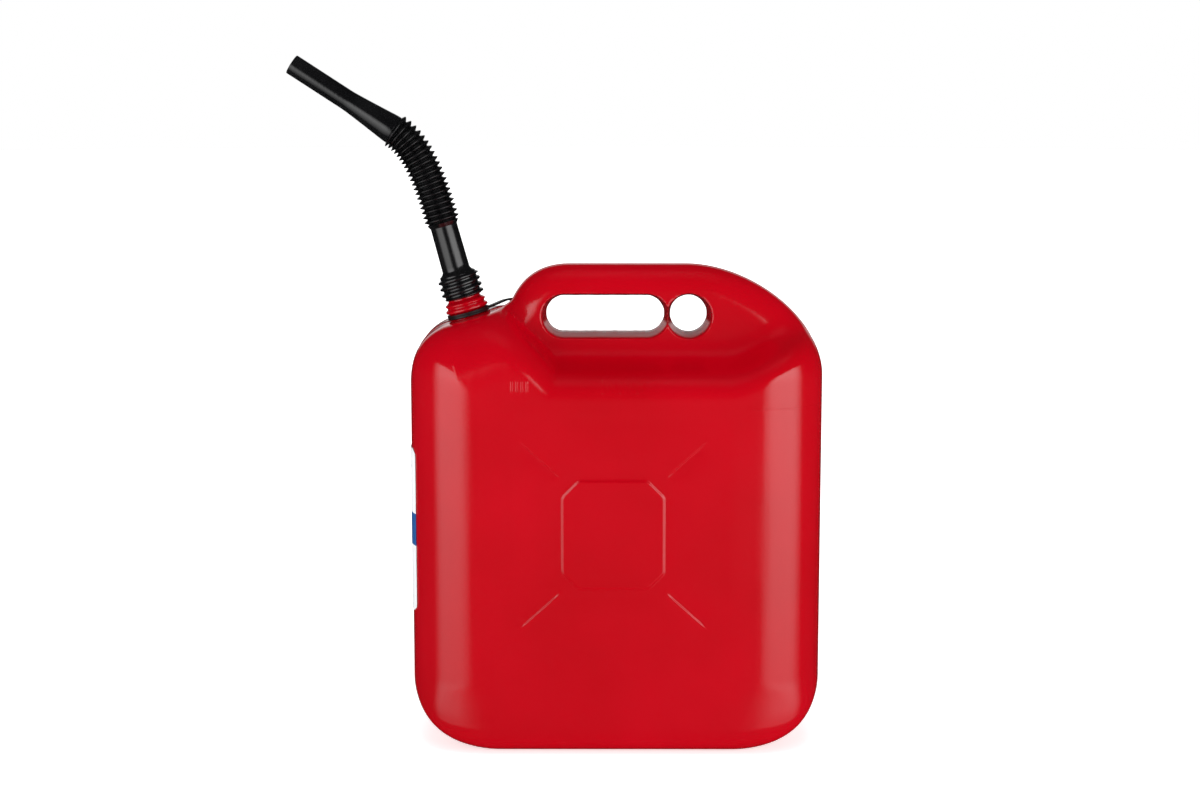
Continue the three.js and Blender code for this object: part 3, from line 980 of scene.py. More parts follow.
    def cloud(self, outline: np.ndarray) -> tuple[np.ndarray, np.ndarray, list[np.ndarray]]:
        """Places of the face's vertices: rows that follow every edge, then an even fill.

        Args:
            outline: The can's outline.

        Returns:
            The places, their known distance from the outline or -1, and the closed loops'
            vertex numbers (the outline first, then the openings, clockwise).
        """
        rim = evenly_spaced(outline, self.rim_step)
        normal = outward(rim)
        radius = self.edge_radius(rim[:, 1], self.raised(rim))
        block = (rim[:, 0] < -110) & (rim[:, 1] > 300)
        radius = np.where(block, self.rounding(rim[:, 1]), radius)
        sets, edges = [rim], [np.zeros(len(rim))]
        loops = [np.arange(len(rim))]
        for centre in ((self.grip, self.grip_radius),
                       ((self.parking - self.parking_radius,
                         self.parking + self.parking_radius), self.parking_radius)):
            (left, right), reach = centre
            hole = evenly_spaced(self.opening(left + reach, right - reach, reach, 30),
                                 self.hole_step)
            trimmed = self.hole_trim * np.sin(np.arange(len(hole)) * 0.9) * np.sin(
                np.arange(len(hole)) * 0.37 + 1)
            out = outward(hole)
            start = sum(len(s) for s in sets)
            loops.append(np.arange(start, start + len(hole)))
            sets.append(hole - out * trimmed[:, None])
            edges.append(np.full(len(hole), -1.0))
        fixed = sum(len(s) for s in sets)
        for turn in np.radians(np.linspace(90 / self.edge_rows, 90, self.edge_rows)):
            reach = radius * (1 - math.cos(turn))
            row = rim - normal * reach[:, None]
            sure = np.abs(depth_inside(row, outline) - reach) < 0.25
            if reach.max() > 4:
                sure &= nearest_gap(row, np.vstack(sets)) > 1.3
            sets.append(row[sure])
            edges.append(reach[sure])
        extra = []
        grip_ends = np.array([self.grip_radius, -self.grip_radius]) + self.grip
        for gap in (0.55, 1.1, 1.7, 2.3, 2.8, 3.2, 3.55, 3.9, 4.3, 4.8, 5.5, 6.6, 8.4, 11, 14):
            for left, right, reach in ((*grip_ends, self.grip_radius + gap),
                                       (self.parking, self.parking,
                                        self.parking_radius + gap)):
                extra.append(evenly_spaced(self.opening(left, right, reach, 40), 2.0))
        for x, z, half in self.marks():
            across, up = np.meshgrid([-1.6, -1.1, -0.7, -0.3, 0.3, 0.7, 1.1, 1.6],
                                     np.linspace(-half - 1.6, half + 1.6, 14))
            extra.append(np.column_stack([x + across.ravel(), z + up.ravel()]))
        left, right, low, high = self.plateau
        for gap in (-1.4, -0.6, -0.2, 0.2, 0.55, 0.9, 1.3, 1.9, 3.5, 7):
            cut = self.chamfer + gap * (2 - math.sqrt(2))
            corner = [(left - gap, low - gap + cut), (left - gap + cut, low - gap),
                      (right + gap - cut, low - gap), (right + gap, low - gap + cut),
                      (right + gap, high + gap - cut), (right + gap - cut, high + gap),
                      (left - gap + cut, high + gap), (left - gap, high + gap - cut)]
            extra.append(evenly_spaced(np.array(corner), 2.4))
        for start, end in self.arms():
            length = np.linalg.norm(end - start)
            along = (end - start) / length
            travel = np.arange(-3, length + 4, 2.4)
            for aside in (-7, -4, -2, -1.2, -0.7, -0.3, 0.0, 0.3, 0.7, 1.2, 2, 4, 7):
                extra.append(start + travel[:, None] * along
                             + aside * np.array([-along[1], along[0]]))
        # fine where the block meets the handle, less so along the flare, coarse elsewhere
        extra += [hexagonal((-96, 322), (-44, 404), 1.8),
                  hexagonal((-70, 316), (176, 374), 2.3),
                  hexagonal((-184, 2), (184, 430), self.grid)]
        places, distances = np.vstack(sets), np.concatenate(edges)
        gaps = [0.34] * (len(extra) - 3) + [1.2, 1.6, 2.9]
        for points, gap in zip(extra, gaps):
            keep = (depth_inside(points, outline) > 1.2) & (self.hole_distance(points) > 0.4)
            points = points[keep]
            free = nearest_gap(points, places) > gap
            places = np.vstack([places, points[free]]) if free.any() else places
            distances = np.concatenate([distances, np.full(int(free.sum()), -1.0)])
        clear = np.ones(len(places), bool)
        clear[fixed:] = self.hole_distance(places[fixed:]) > 0.4
        return places[clear], distances[clear], loops

    def pressed_face(self, outline: np.ndarray) -> tuple[Mesh2D, list[np.ndarray]]:
        """Triangles that fill the outline round the openings.

        Args:
            outline: The can's outline.

        Returns:
            Places, known edge distances and triangles, and the closed loops.
        """
        places, distances, loops = self.cloud(outline)
        rims = [[int(a), int(b)] for loop in loops for a, b in zip(loop, np.roll(loop, -1))]
        _, _, faces, sources, _, _ = delaunay_2d_cdt(
            [Vector(place) for place in places], rims, [], 0, 1e-6)
        origin = np.array([source[0] if source else -1 for source in sources])
        triangles = origin[np.array(faces)]
        triangles = triangles[(triangles >= 0).all(1)]
        middle = places[triangles].mean(1)
        solid = inside(middle, places[loops[0]])
        for loop in loops[1:]:
            solid &= ~inside(middle, places[loop])
        return (places, distances, triangles[solid].tolist()), loops

    def rim_rows(self, reach: np.ndarray) -> list[tuple[np.ndarray, float]]:
        """Rows that carry an edge from the front half to the back.

        Args:
            reach: Half depth of the face at each point of the edge.

        Returns:
            For each row its depth at every point and the height of the bead.
        """
        flat = self.rim_half
        rows = [(-flat - (reach - flat) * part, 0.0) for part in (0.75, 0.5, 0.25, 0.0)]
        rows += [(np.full(len(reach), side * self.bead_half), self.seam) for side in (-1, 1)]
        return rows + [(-row, bead) for row, bead in rows[3::-1]]

    def build(self) -> list[bpy.types.Object]:
        """Builds the can and its neck.

        Returns:
            The two pieces.
        """
        outline = self.outline()
        (places, distances, triangles), loops = self.pressed_face(outline)
        depth = self.half_depth(places, (outline, self.block_outline(outline)), distances)
        depth = np.maximum(depth, self.least_half)
        count = len(places)
        sides = []
        for face in Face:
            raised = self.mark_height(places) if face is Face.FRONT else 0.0
            sides.append(np.column_stack([places[:, 0], face.value * (depth + raised),
                                          places[:, 1]]))
        faces = [list(t) for t in triangles]
        faces += [[k + count for k in reversed(t)] for t in triangles]
        total = 2 * count
        for number, loop in enumerate(loops):
            out = outward(places[loop])
            rows = [loop]
            for row, bead in self.rim_rows(depth[loop]):
                lift = bead if number == 0 else bead * 0.6
                flat = places[loop] + out * lift
                sides.append(np.column_stack([flat[:, 0], row, flat[:, 1]]))
                rows.append(np.arange(total, total + len(loop)))
                total += len(loop)
            rows.append(loop + count)
            for low, high in zip(rows, rows[1:]):
                faces += [[int(a), int(b), int(c), int(d)] for a, b, c, d in
                          zip(low, np.roll(low, -1), np.roll(high, -1), high)]
        body = build_piece("can_shell", np.vstack(sides), faces, RED_POLYETHYLENE.material(), 50)
        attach(body, "can")
        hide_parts("can_body")
        return [body, self.neck()]

    def neck(self) -> bpy.types.Object:
        """Neck: the tether's collar, a bead, a stop and the threaded stub.

        Returns:
            The neck, riding on the can.
        """
        outer = softened([(12.3, -4), (17.6, -4), (17.6, 0.1), (16.4, 0.7), (16.3, 5.0),
                          (19.2, 6.2), (19.2, 8.3), (17.0, 9.5), (17.0, 10.9), (18.3, 11.9),
                          (18.3, 13.1), (16.2, 14.6), (14.5, 16), (14.5, 34), (12.3, 34)], 0.7)
        stub = np.column_stack([np.full(30, 14.5), np.linspace(17.5, 33, 30)])
        split = int(np.argmax((outer[:, 1] > 17) & (outer[:, 0] < 14.6)))
        profile = np.vstack([outer[:split], stub, outer[split:]])
        heights = profile[:, 1]

        def thread(angle: np.ndarray, row: np.ndarray) -> np.ndarray:
            """Height of the helical ridge round the stub.

            Args:
                angle: Angle round the neck.
                row: Row of the profile.

            Returns:
                What it adds to the radius.
            """
            h = heights[row]
            on = ((profile[row, 0] > 14.4) & (profile[row, 0] < 14.6)
                  & (h > 17) & (h < 33.2))
            ridge = helical_ridge(angle, h, (0.2, 0.42), (0.58, 0.8))
            return np.where(on, 0.4 * ridge * ease(17.5, 20, h) * (1 - ease(30, 33, h)), 0.0)

        place = neck_frame()
        piece = build_turned("can_neck", turned(profile, 96, thread), place,
                             RED_POLYETHYLENE.material(), 50)
        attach(piece, "can")
        return piece


def neck_frame() -> Matrix:
    """The neck's frame in millimetres.

    Returns:
        The frame, with the neck's foot at its origin and its axis as +Z.
    """
    axis = Vector(joint("spout_unscrew")["axis"])
    point = Vector(joint("spout_unscrew")["pos_m"]) / MM
    foot = point - axis * ((point - Vector((CanBody.neck_point[0], 0,
                                            CanBody.neck_point[1]))).dot(axis))
    return axis_frame(foot, axis)


@dataclass
class SideLabel:
    """Printed film pressed on the rounded end below the neck."""
    film: float = 0.3
    gap: float = 0.45
    corner: float = 7.0
    end_radius: float = CanBody.end_radius
    rows: int = 40
    columns: int = 48
    band: tuple[float, float] = (60.0, 89.0)    # foot and head of the blue band

    def build(self) -> bpy.types.Object:
        """Builds the film round the end of the can.

        Returns:
            The film, riding on the can.
        """
        low, high = mm_box("side_label")
        can_low, can_high = mm_box("can_body")
        flat = can_high.y - self.end_radius
        half = flat + self.end_radius * math.asin((high.y - flat) / self.end_radius)
        rows, columns = self.rows, self.columns
        across, up = np.meshgrid(np.linspace(-1, 1, columns), np.linspace(0, 1, rows))
        z = low.z + (high.z - low.z) * up
        end = np.minimum(z - low.z, high.z - z)
        cut = np.maximum(self.corner - end, 0)
        width = half - (self.corner - np.sqrt(self.corner ** 2 - cut ** 2))
        run = across * width
        bend = np.maximum(np.abs(run) - flat, 0) / self.end_radius
        layers = []
        for lift in (self.gap - CanBody.seam, self.gap + self.film - CanBody.seam):
            radius = self.end_radius + lift
            y = np.sign(run) * np.where(bend > 0, flat + radius * np.sin(bend), np.abs(run))
            x = can_low.x - lift + radius * (1 - np.cos(bend))
            layers.append(np.stack([x, y, z], -1).reshape(-1, 3))
        count = rows * columns
        faces = []
        for r in range(rows - 1):
            for c in range(columns - 1):
                a = r * columns + c
                quad = [a, a + 1, a + columns + 1, a + columns]
                faces += [quad, [k + count for k in reversed(quad)]]
        border = (list(range(columns))
                  + [r * columns + columns - 1 for r in range(1, rows)]
                  + [(rows - 1) * columns + c for c in range(columns - 2, -1, -1)]
                  + [r * columns for r in range(rows - 2, 0, -1)])
        faces += [[a, a + count, b + count, b] for a, b in
                  zip(border, border[1:] + border[:1])]
        # Cast polypropylene film, printed and pressed on: flat clean white with a satin sheen
        # and a slight crinkle where it follows the rounded end.
        film = PrintedFilm("printed_polypropylene_film", "#eceef0", "#1c5596", "#9aa0a8",
                           low.z + self.band[0], low.z + self.band[1])
        piece = build_piece("label_film", np.vstack(layers), faces, film.material(), 60)
        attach(piece, "can")
        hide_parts("side_label")
        return piece


# ---- spout --------------------------------------------------------------------------------

@dataclass
class Spout:
    """Screw-on spout: threaded foot and tube, corrugated bend and tapering nozzle."""
    pitch: float = 5.8
    low: float = 17.3
    high: float = 38.6
    root: float = 16.2
    crest: float = 18.8
    inner: float = 15.0
    tube: float = 12.1
    wall: float = 1.8
    tube_top: float = 83.1
    bend_outer: float = 16.0
    bend_root: float = 12.4
    bend_wall: float = 1.3
    folds: int = 21
    fold_steps: int = 12               # rows of vertices in each fold
    root_flat: float = 0.10            # share of a fold that stays at its root
    fold_rise: float = 0.80
    fold_shape: float = 0.85           # below 1 the crests grow fuller
    swell: float = 60.0                # how fast the first fold may widen from the tube
    nozzle_tilt: float = 57.0
    nozzle_start: tuple[float, float] = (-198.2, 549.5)
    handles: tuple[float, float] = (45.0, 25.0)
    nozzle_base: float = 13.0
    nozzle_tip: float = 9.2
    cone: float = 46.8
    length: float = 106.3

    def build(self) -> list[bpy.types.Object]:
        """Builds the four pieces of the spout."""
        return [self.foot_and_tube(), self.corrugated_bend(), self.nozzle(), self.washer()]

    def foot_and_tube(self) -> bpy.types.Object:
        """Foot with its helical ridges and constant wall, and the plain tube above.

        Returns:
            The piece, riding on the spout's body.
        """
        skirt = np.column_stack([np.full(64, self.root),
                                 np.linspace(self.low + 0.4, self.high - 0.2, 64)])
        upper = np.vstack([
            bezier([(self.root, self.high), (self.root - 0.2, self.high + 1.2),
                    (self.tube + 1.2, self.high + 1.4), (self.tube + 0.4, self.high + 4.5)], 9),
            np.column_stack([np.linspace(self.tube + 0.35, self.tube, 14),
                             np.linspace(self.high + 8, self.tube_top, 14)])])
        bore = self.tube - self.wall
        within = softened([(bore, self.tube_top), (bore, self.high - 2),
                           (self.inner, self.high - 2), (self.inner, self.low),
                           (self.root - 0.1, self.low)], 0.5)[2:-2]
        profile = np.vstack([skirt, upper, within])
        rows = len(skirt)
        heights = profile[:, 1]

        def thread(angle: np.ndarray, row: np.ndarray) -> np.ndarray:
            """Height of the foot's helical ridge.

            Args:
                angle: Angle round the spout.
                row: Row of the profile.

            Returns:
                What it adds to the radius.
            """
            h = heights[row]
            ridge = helical_ridge(angle, h, (0.1, 0.38), (0.58, 0.92), shift=0.1)
            ends = ease(self.low, self.low + 1.6, h) * (1 - ease(self.high - 2.4, self.high, h))
            return np.where(row < rows, (self.crest - self.root) * ridge * ends, 0.0)

        piece = build_turned("spout_foot_and_tube", turned(profile, 96, thread), neck_frame(),
                             BLACK_POLYETHYLENE.material(), 60)
        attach(piece, "spout")
        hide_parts("spout_base")
        return piece

    def centre_line(self, count: int) -> tuple[np.ndarray, np.ndarray]:
        """The corrugated bend's centre line.

        Args:
            count: How many even steps to give.

        Returns:
            Points and unit tangents along it.
        """
        place = np.array(neck_frame())
        up = place[:3, 2]
        start = place[:3, 3] + up * self.tube_top
        end = np.array([self.nozzle_start[0], 0, self.nozzle_start[1]])
        out = self.nozzle_axis()
        curve = bezier([start, start + up * self.handles[0], end - out * self.handles[1], end],
                       600)
        travelled = np.concatenate([[0], np.cumsum(np.linalg.norm(np.diff(curve, axis=0),
                                                                  axis=1))])
        stops = np.linspace(0, travelled[-1], count)
        points = np.column_stack([np.interp(stops, travelled, curve[:, k]) for k in range(3)])
        tangent = np.gradient(points, axis=0)
        return points, tangent / np.linalg.norm(tangent, axis=1)[:, None]

    def nozzle_axis(self) -> np.ndarray:
        """Unit vector along the nozzle."""
        tilt = math.radians(self.nozzle_tilt)
        return np.array([-math.sin(tilt), 0, math.cos(tilt)])

    def corrugated_bend(self) -> bpy.types.Object:
        """Corrugated stretch with folded-in roots and narrow crests, bent along its centre line.

        Returns:
            The piece, not attached to any body.
        """
        steps = self.fold_steps
        count = self.folds * steps + 1
        centre, tangent = self.centre_line(count)
        phase = (np.arange(count) / steps) % 1.0
        rise = 1 - np.abs(2 * phase - 1)
        fold = np.clip((rise - self.root_flat) / self.fold_rise, 0, 1) ** self.fold_shape
        outer = self.bend_root + (self.bend_outer - self.bend_root) * fold
        outer[0], outer[-1] = self.tube, self.nozzle_base
        along = np.linspace(0, 1, count)
        outer = np.minimum(outer, self.tube + self.swell * along)
        inner = outer - self.bend_wall
        angle = np.linspace(0, 2 * math.pi, 72, endpoint=False)
        binormal = np.array([0.0, 1.0, 0.0])
        normal = np.cross(tangent, binormal)
        layers = []
        for radius, order in ((outer, slice(None)), (inner, slice(None, None, -1))):
            ring = (centre[:, None, :] + radius[:, None, None]
                    * (np.cos(angle)[None, :, None] * normal[:, None, :]
                       + np.sin(angle)[None, :, None] * binormal))
            layers.append(ring[order])
        rings = np.concatenate(layers)
        piece = build_turned("spout_corrugated_bend", rings, Matrix.Identity(4),
                             BLACK_POLYETHYLENE.material(), 75)
        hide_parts("spout_bellows")
        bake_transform(piece)
        return piece

    def nozzle(self) -> bpy.types.Object:
        """Nozzle: a short collar, a cone and a plain pipe with a rounded rim.

        Returns:
            The nozzle, riding on its own body.
        """
        base, tip = self.nozzle_base, self.nozzle_tip
        outer = np.vstack([
            bezier([(base, 0), (base, 3), (base - 0.2, 5), (base - 0.5, 8)], 8),
            bezier([(base - 0.8, 11), (base - 2.0, 24), (tip + 0.7, 36), (tip + 0.05, self.cone)],
                   16),
            np.column_stack([np.full(14, tip), np.linspace(self.cone + 3, self.length - 1.2,
                                                           14)]),
            arc((tip - 0.8, self.length - 0.8), (0.8, 0.8), 0, 180, 7)])
        bore = tip - 1.6
        inner = np.array([(bore, self.cone), (bore + 1, 30), (base - 1.7, 8), (base - 1.6, 0)])
        place = axis_frame((self.nozzle_start[0], 0, self.nozzle_start[1]), self.nozzle_axis())
        piece = build_turned("spout_nozzle_cone", turned(np.vstack([outer, inner]), 96), place,
                             BLACK_POLYETHYLENE.material(), 60)
        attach(piece, "nozzle")
        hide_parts("spout_nozzle")
        return piece

    def washer(self) -> bpy.types.Object:
        """Sealing washer between the neck's rim and the foot's ceiling.

        Returns:
            The washer, riding on the spout's seat.
        """
        profile = softened([(10.9, 34.3), (12.4, 34.3), (12.6, 34.5), (12.8, 34.3),
                            (14.6, 34.3), (14.6, 36.0), (10.9, 36.0)], 0.4)
        piece = build_turned("spout_sealing_washer", turned(profile, 72), neck_frame(),
                             NITRILE_RUBBER.material(), 60)
        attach(piece, "spout_seat")
        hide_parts("spout_gasket")
        return piece


# ---- tether and cap -----------------------------------------------------------------------

@dataclass
class Tether:
    """Loose ring round the neck and the strap that carries the cap."""
    inner: float = 16.9
    outer: float = 19.1
    low: float = 0.8
    high: float = 4.6
    width: float = 8.0
    thickness: float = 1.8
    loop_inner: float = 9.2
    loop_outer: float = 13.5
    route_steps: int = 12              # rows of vertices from one knot to the next
    rooted: int = 14                   # rows at the ring end of the strap
    lying: tuple[tuple[float, float, float], ...] = (
        (16.2, 12.2, 1.6), (22, 19.5, 1.6), (27.5, 29, 1.6), (33.5, 39, 1.4),
        (38.5, 49, -0.6), (41.5, 58, -4.4), (43, 68, -11), (43.5, 77, -20.5))

    def build(self) -> list[bpy.types.Object]:
        """Builds the ring and the strap."""
        return [self.ring(), self.strap()]

    def ring(self) -> bpy.types.Object:
        """Rounded ring with a shallow channel round its outside.

        Returns:
            The ring, riding on the swivel.
        """
        middle = (self.low + self.high) / 2
        profile = softened([(self.inner, self.low), (self.outer, self.low),
                            (self.outer, middle - 0.6), (self.outer - 0.35, middle),
                            (self.outer, middle + 0.6), (self.outer, self.high),
                            (self.inner, self.high)], 0.5)
        piece = build_turned("tether_collar_ring", turned(profile, 96), neck_frame(),
                             TETHER_POLYETHYLENE.material(), 60)
        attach(piece, "tether_swivel")
        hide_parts("tether_ring")
        return piece

    def strap(self) -> bpy.types.Object:
        """Flat strap with rounded edges, ending in the loop round the cap's stem.

        Returns:
            The strap, not attached to any body.
        """
        hinge = Vector(joint("cap_turn")["pos_m"]) / MM
        place = neck_frame()
        knots = [place @ Vector(point) for point in self.lying]
        knots += [hinge + Vector((0.3, -2, 30)), hinge + Vector((0, -0.3, 21)),
                  hinge + Vector((0, 0, self.loop_outer - 1.2))]
        route = self.smooth_route(np.array(knots), self.route_steps)
        tangent = np.gradient(route, axis=0)
        tangent /= np.linalg.norm(tangent, axis=1)[:, None]
        first = np.array(place.to_3x3() @ Vector((0.75, -0.62, 0)))
        share = ease(0.25, 0.8, np.linspace(0, 1, len(route)))[:, None]
        across = first * (1 - share) + np.array([1.0, 0, 0]) * share
        across -= (across * tangent).sum(1)[:, None] * tangent
        across /= np.linalg.norm(across, axis=1)[:, None]
        thick = np.cross(tangent, across)
        section = softened([(-self.width / 2, -self.thickness / 2),
                            (self.width / 2, -self.thickness / 2),
                            (self.width / 2, self.thickness / 2),
                            (-self.width / 2, self.thickness / 2)][::-1], 0.55)
        rings = (route[:, None, :] + section[None, :, :1] * across[:, None, :]
                 + section[None, :, 1:] * thick[:, None, :])
        band = rings.reshape(-1, 3)
        faces = closed_faces(*rings.shape[:2], joined=False)
        half = self.thickness / 2
        loop = turned(softened([(self.loop_inner, -half), (self.loop_outer, -half),
                                (self.loop_outer, half), (self.loop_inner, half)], 0.5), 72)
        loop = moved(loop, axis_frame(hinge, (0, 1, 0)))
        faces += [[k + len(band) for k in face]
                  for face in closed_faces(*loop.shape[:2], joined=True)]
        piece = build_piece("tether_strap_and_loop", np.vstack([band, loop.reshape(-1, 3)]),
                            faces, TETHER_POLYETHYLENE.material(), 55)
        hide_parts("tether_strap")
        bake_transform(piece)
        return piece

    def smooth_route(self, knots: np.ndarray, steps: int) -> np.ndarray:
        """Smooth curve through every knot.

        Args:
            knots: Points that it passes.
            steps: Points between one knot and the next.

        Returns:
            Points along the curve.
        """
        padded = np.vstack([2 * knots[0] - knots[1], knots, 2 * knots[-1] - knots[-2]])
        parts = []
        for a, b, c, d in zip(padded, padded[1:], padded[2:], padded[3:]):
            parts.append(bezier([b, b + (c - a) / 6, c - (d - b) / 6, c], steps + 1)[:-1])
        return np.vstack([*parts, knots[-1:]])


@dataclass
class Cap:
    """Child-resistant screw cap: ribbed outer shell, threaded inner shell and liner."""
    knob: float = 10.4
    stem: float = 8.8
    radius: float = 23.0
    wall: float = 1.8
    height: float = 26.0
    ribs: int = 54
    rib_depth: float = 0.7
    bore: float = 18.0

    def place(self) -> Matrix:
        """Frame of the cap.

        Returns:
            The frame, with the knob's face at its origin and the mouth towards +Y.
        """
        low, _ = mm_box("cap_outer_shell")
        hinge = Vector(joint("cap_turn")["pos_m"]) / MM
        return axis_frame((hinge.x, low.y, hinge.z), (0, 1, 0))

    def build(self) -> list[bpy.types.Object]:
        """Builds the cap's three pieces."""
        return [self.outer_shell(), self.inner_shell(), self.liner()]

    def outer_shell(self) -> bpy.types.Object:
        """Knob, stem, plate and a skirt with gripping ribs.

        Returns:
            The shell, riding on the cap.
        """
        lip = self.radius - self.wall - 1.4
        profile = softened([
            (0, 0.5), (self.knob - 3, 0.5), (self.knob - 2.4, 0), (self.knob, 0),
            (self.knob, 1.6), (self.stem, 1.6), (self.stem, 4.8), (14.5, 4.8), (15, 5.1),
            (18.6, 5.1), (19.1, 4.8), (self.radius - 1.2, 4.8), (self.radius - 0.1, 6.2),
            (self.radius, 7.4), (self.radius, self.height - 2.6),
            (self.radius - 0.1, self.height - 2.2), (self.radius, self.height - 1.8),
            (self.radius, self.height), (lip, self.height), (lip, self.height - 1.4),
            (self.radius - self.wall, self.height - 1.6), (self.radius - self.wall, 6.8),
            (0, 6.8)], 0.45)
        heights, radii = profile[:, 1], profile[:, 0]

        def ribbing(angle: np.ndarray, row: np.ndarray) -> np.ndarray:
            """Depth of the grooves between the gripping ribs.

            Args:
                angle: Angle round the cap.
                row: Row of the profile.

            Returns:
                What it adds to the radius, below zero.
            """
            skirt = (radii[row] > self.radius - 0.6) & (heights[row] < self.height - 2)
            groove = ease(0.15, 0.75, 0.5 + 0.5 * np.cos(angle * self.ribs))
            return np.where(skirt, -self.rib_depth * (1 - groove), 0.0)

        piece = build_turned("cap_ribbed_shell", turned(profile, self.ribs * 8, ribbing),
                             self.place(), CAP_POLYPROPYLENE.material(), 55)
        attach(piece, "cap")
        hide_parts("cap_outer_shell")
        return piece

    def inner_shell(self) -> bpy.types.Object:
        """Inner cap with the screw thread inside it.

        Returns:
            The inner cap, riding on the insert.
        """
        outside, mouth = self.radius - self.wall - 0.5, self.height - 0.4
        outer = softened([(0, 9.2), (outside - 1, 9.2), (outside, 10.2),
                          (outside, self.height - 2), (outside - 1.3, self.height - 2),
                          (outside - 1.3, mouth), (self.bore, mouth), (self.bore, mouth - 1)],
                         0.35)
        bore = np.column_stack([np.full(40, self.bore), np.linspace(mouth - 1.2, 11.6, 40)])
        profile = np.vstack([outer, bore, [(self.bore, 10.9), (0, 10.9)]])
        first, heights = len(outer), profile[:, 1]

        def thread(angle: np.ndarray, row: np.ndarray) -> np.ndarray:
            """Depth of the thread that stands in from the bore.

            Args:
                angle: Angle round the cap.
                row: Row of the profile.

            Returns:
                What it adds to the radius, below zero.
            """
            h = heights[row]
            ridge = helical_ridge(angle, h, (0.15, 0.4), (0.6, 0.85))
            ends = ease(12.8, 15, h) * (1 - ease(mouth - 4, mouth - 1.5, h))
            within = (row >= first) & (row < first + 40)
            return np.where(within, -1.1 * ridge * ends, 0.0)

        piece = build_turned("cap_threaded_shell", turned(profile, 96, thread), self.place(),
                             CAP_POLYPROPYLENE.material(), 55)
        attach(piece, "cap_insert")
        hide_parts("cap_inner_shell")
        return piece

    def liner(self) -> bpy.types.Object:
        """Soft disc with the ring that the neck's rim has pressed in it.

        Returns:
            The liner, riding on the insert.
        """
        profile = softened([(0, 11.2), (17.4, 11.2), (17.4, 12.4), (15, 12.4), (14.4, 12.1),
                            (12.6, 12.1), (12, 12.4), (0, 12.4)], 0.3)
        piece = build_turned("cap_foam_liner", turned(profile, 72), self.place(),
                             FOAM_LINER.material(), 60)
        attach(piece, "cap_insert")
        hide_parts("cap_liner")
        return piece


# ---- studio -------------------------------------------------------------------------------

@dataclass(frozen=True)
class PressedLaminate:
    """Matt white laminate of the floor, which gives off a little light of its own."""
    name: str = "matt_white_laminate"
    colour: str = "#f4f4f4"
    speckle: str = "#f0f0f1"
    roughness: float = 0.9
    glow_span: tuple[float, float] = (0.3, 1.2)    # metres from the middle
    glow: tuple[float, float] = (0.62, 1.1)        # so the floor meets the white room unseen

    def material(self) -> bpy.types.Material:
        """Builds the floor's material: even white with a faint speckle.

        Returns:
            The material.
        """
        material, tree = empty_material(self.name)
        speckle = add_node(tree, "TexNoise", {"Scale": 40.0, "Detail": 2.0})
        tone = add_node(tree, "Mix", {
            0: speckle.outputs["Fac"], 6: linear(self.colour), 7: linear(self.speckle)},
            data_type="RGBA")
        out = add_node(tree, "VectorMath", {
            0: add_node(tree, "TexCoord").outputs["Object"]}, operation="LENGTH")
        lift = add_node(tree, "MapRange", {
            "Value": out.outputs["Value"], "From Min": self.glow_span[0],
            "From Max": self.glow_span[1], "To Min": self.glow[0], "To Max": self.glow[1]},
            interpolation_type="SMOOTHSTEP")
        shader = add_node(tree, "BsdfPrincipled", {
            "Base Color": tone.outputs[2], "Roughness": self.roughness,
            "Emission Color": linear("#ffffff"), "Emission Strength": lift.outputs[0]})
        add_node(tree, "OutputMaterial", {"Surface": shader.outputs[0]})
        return material


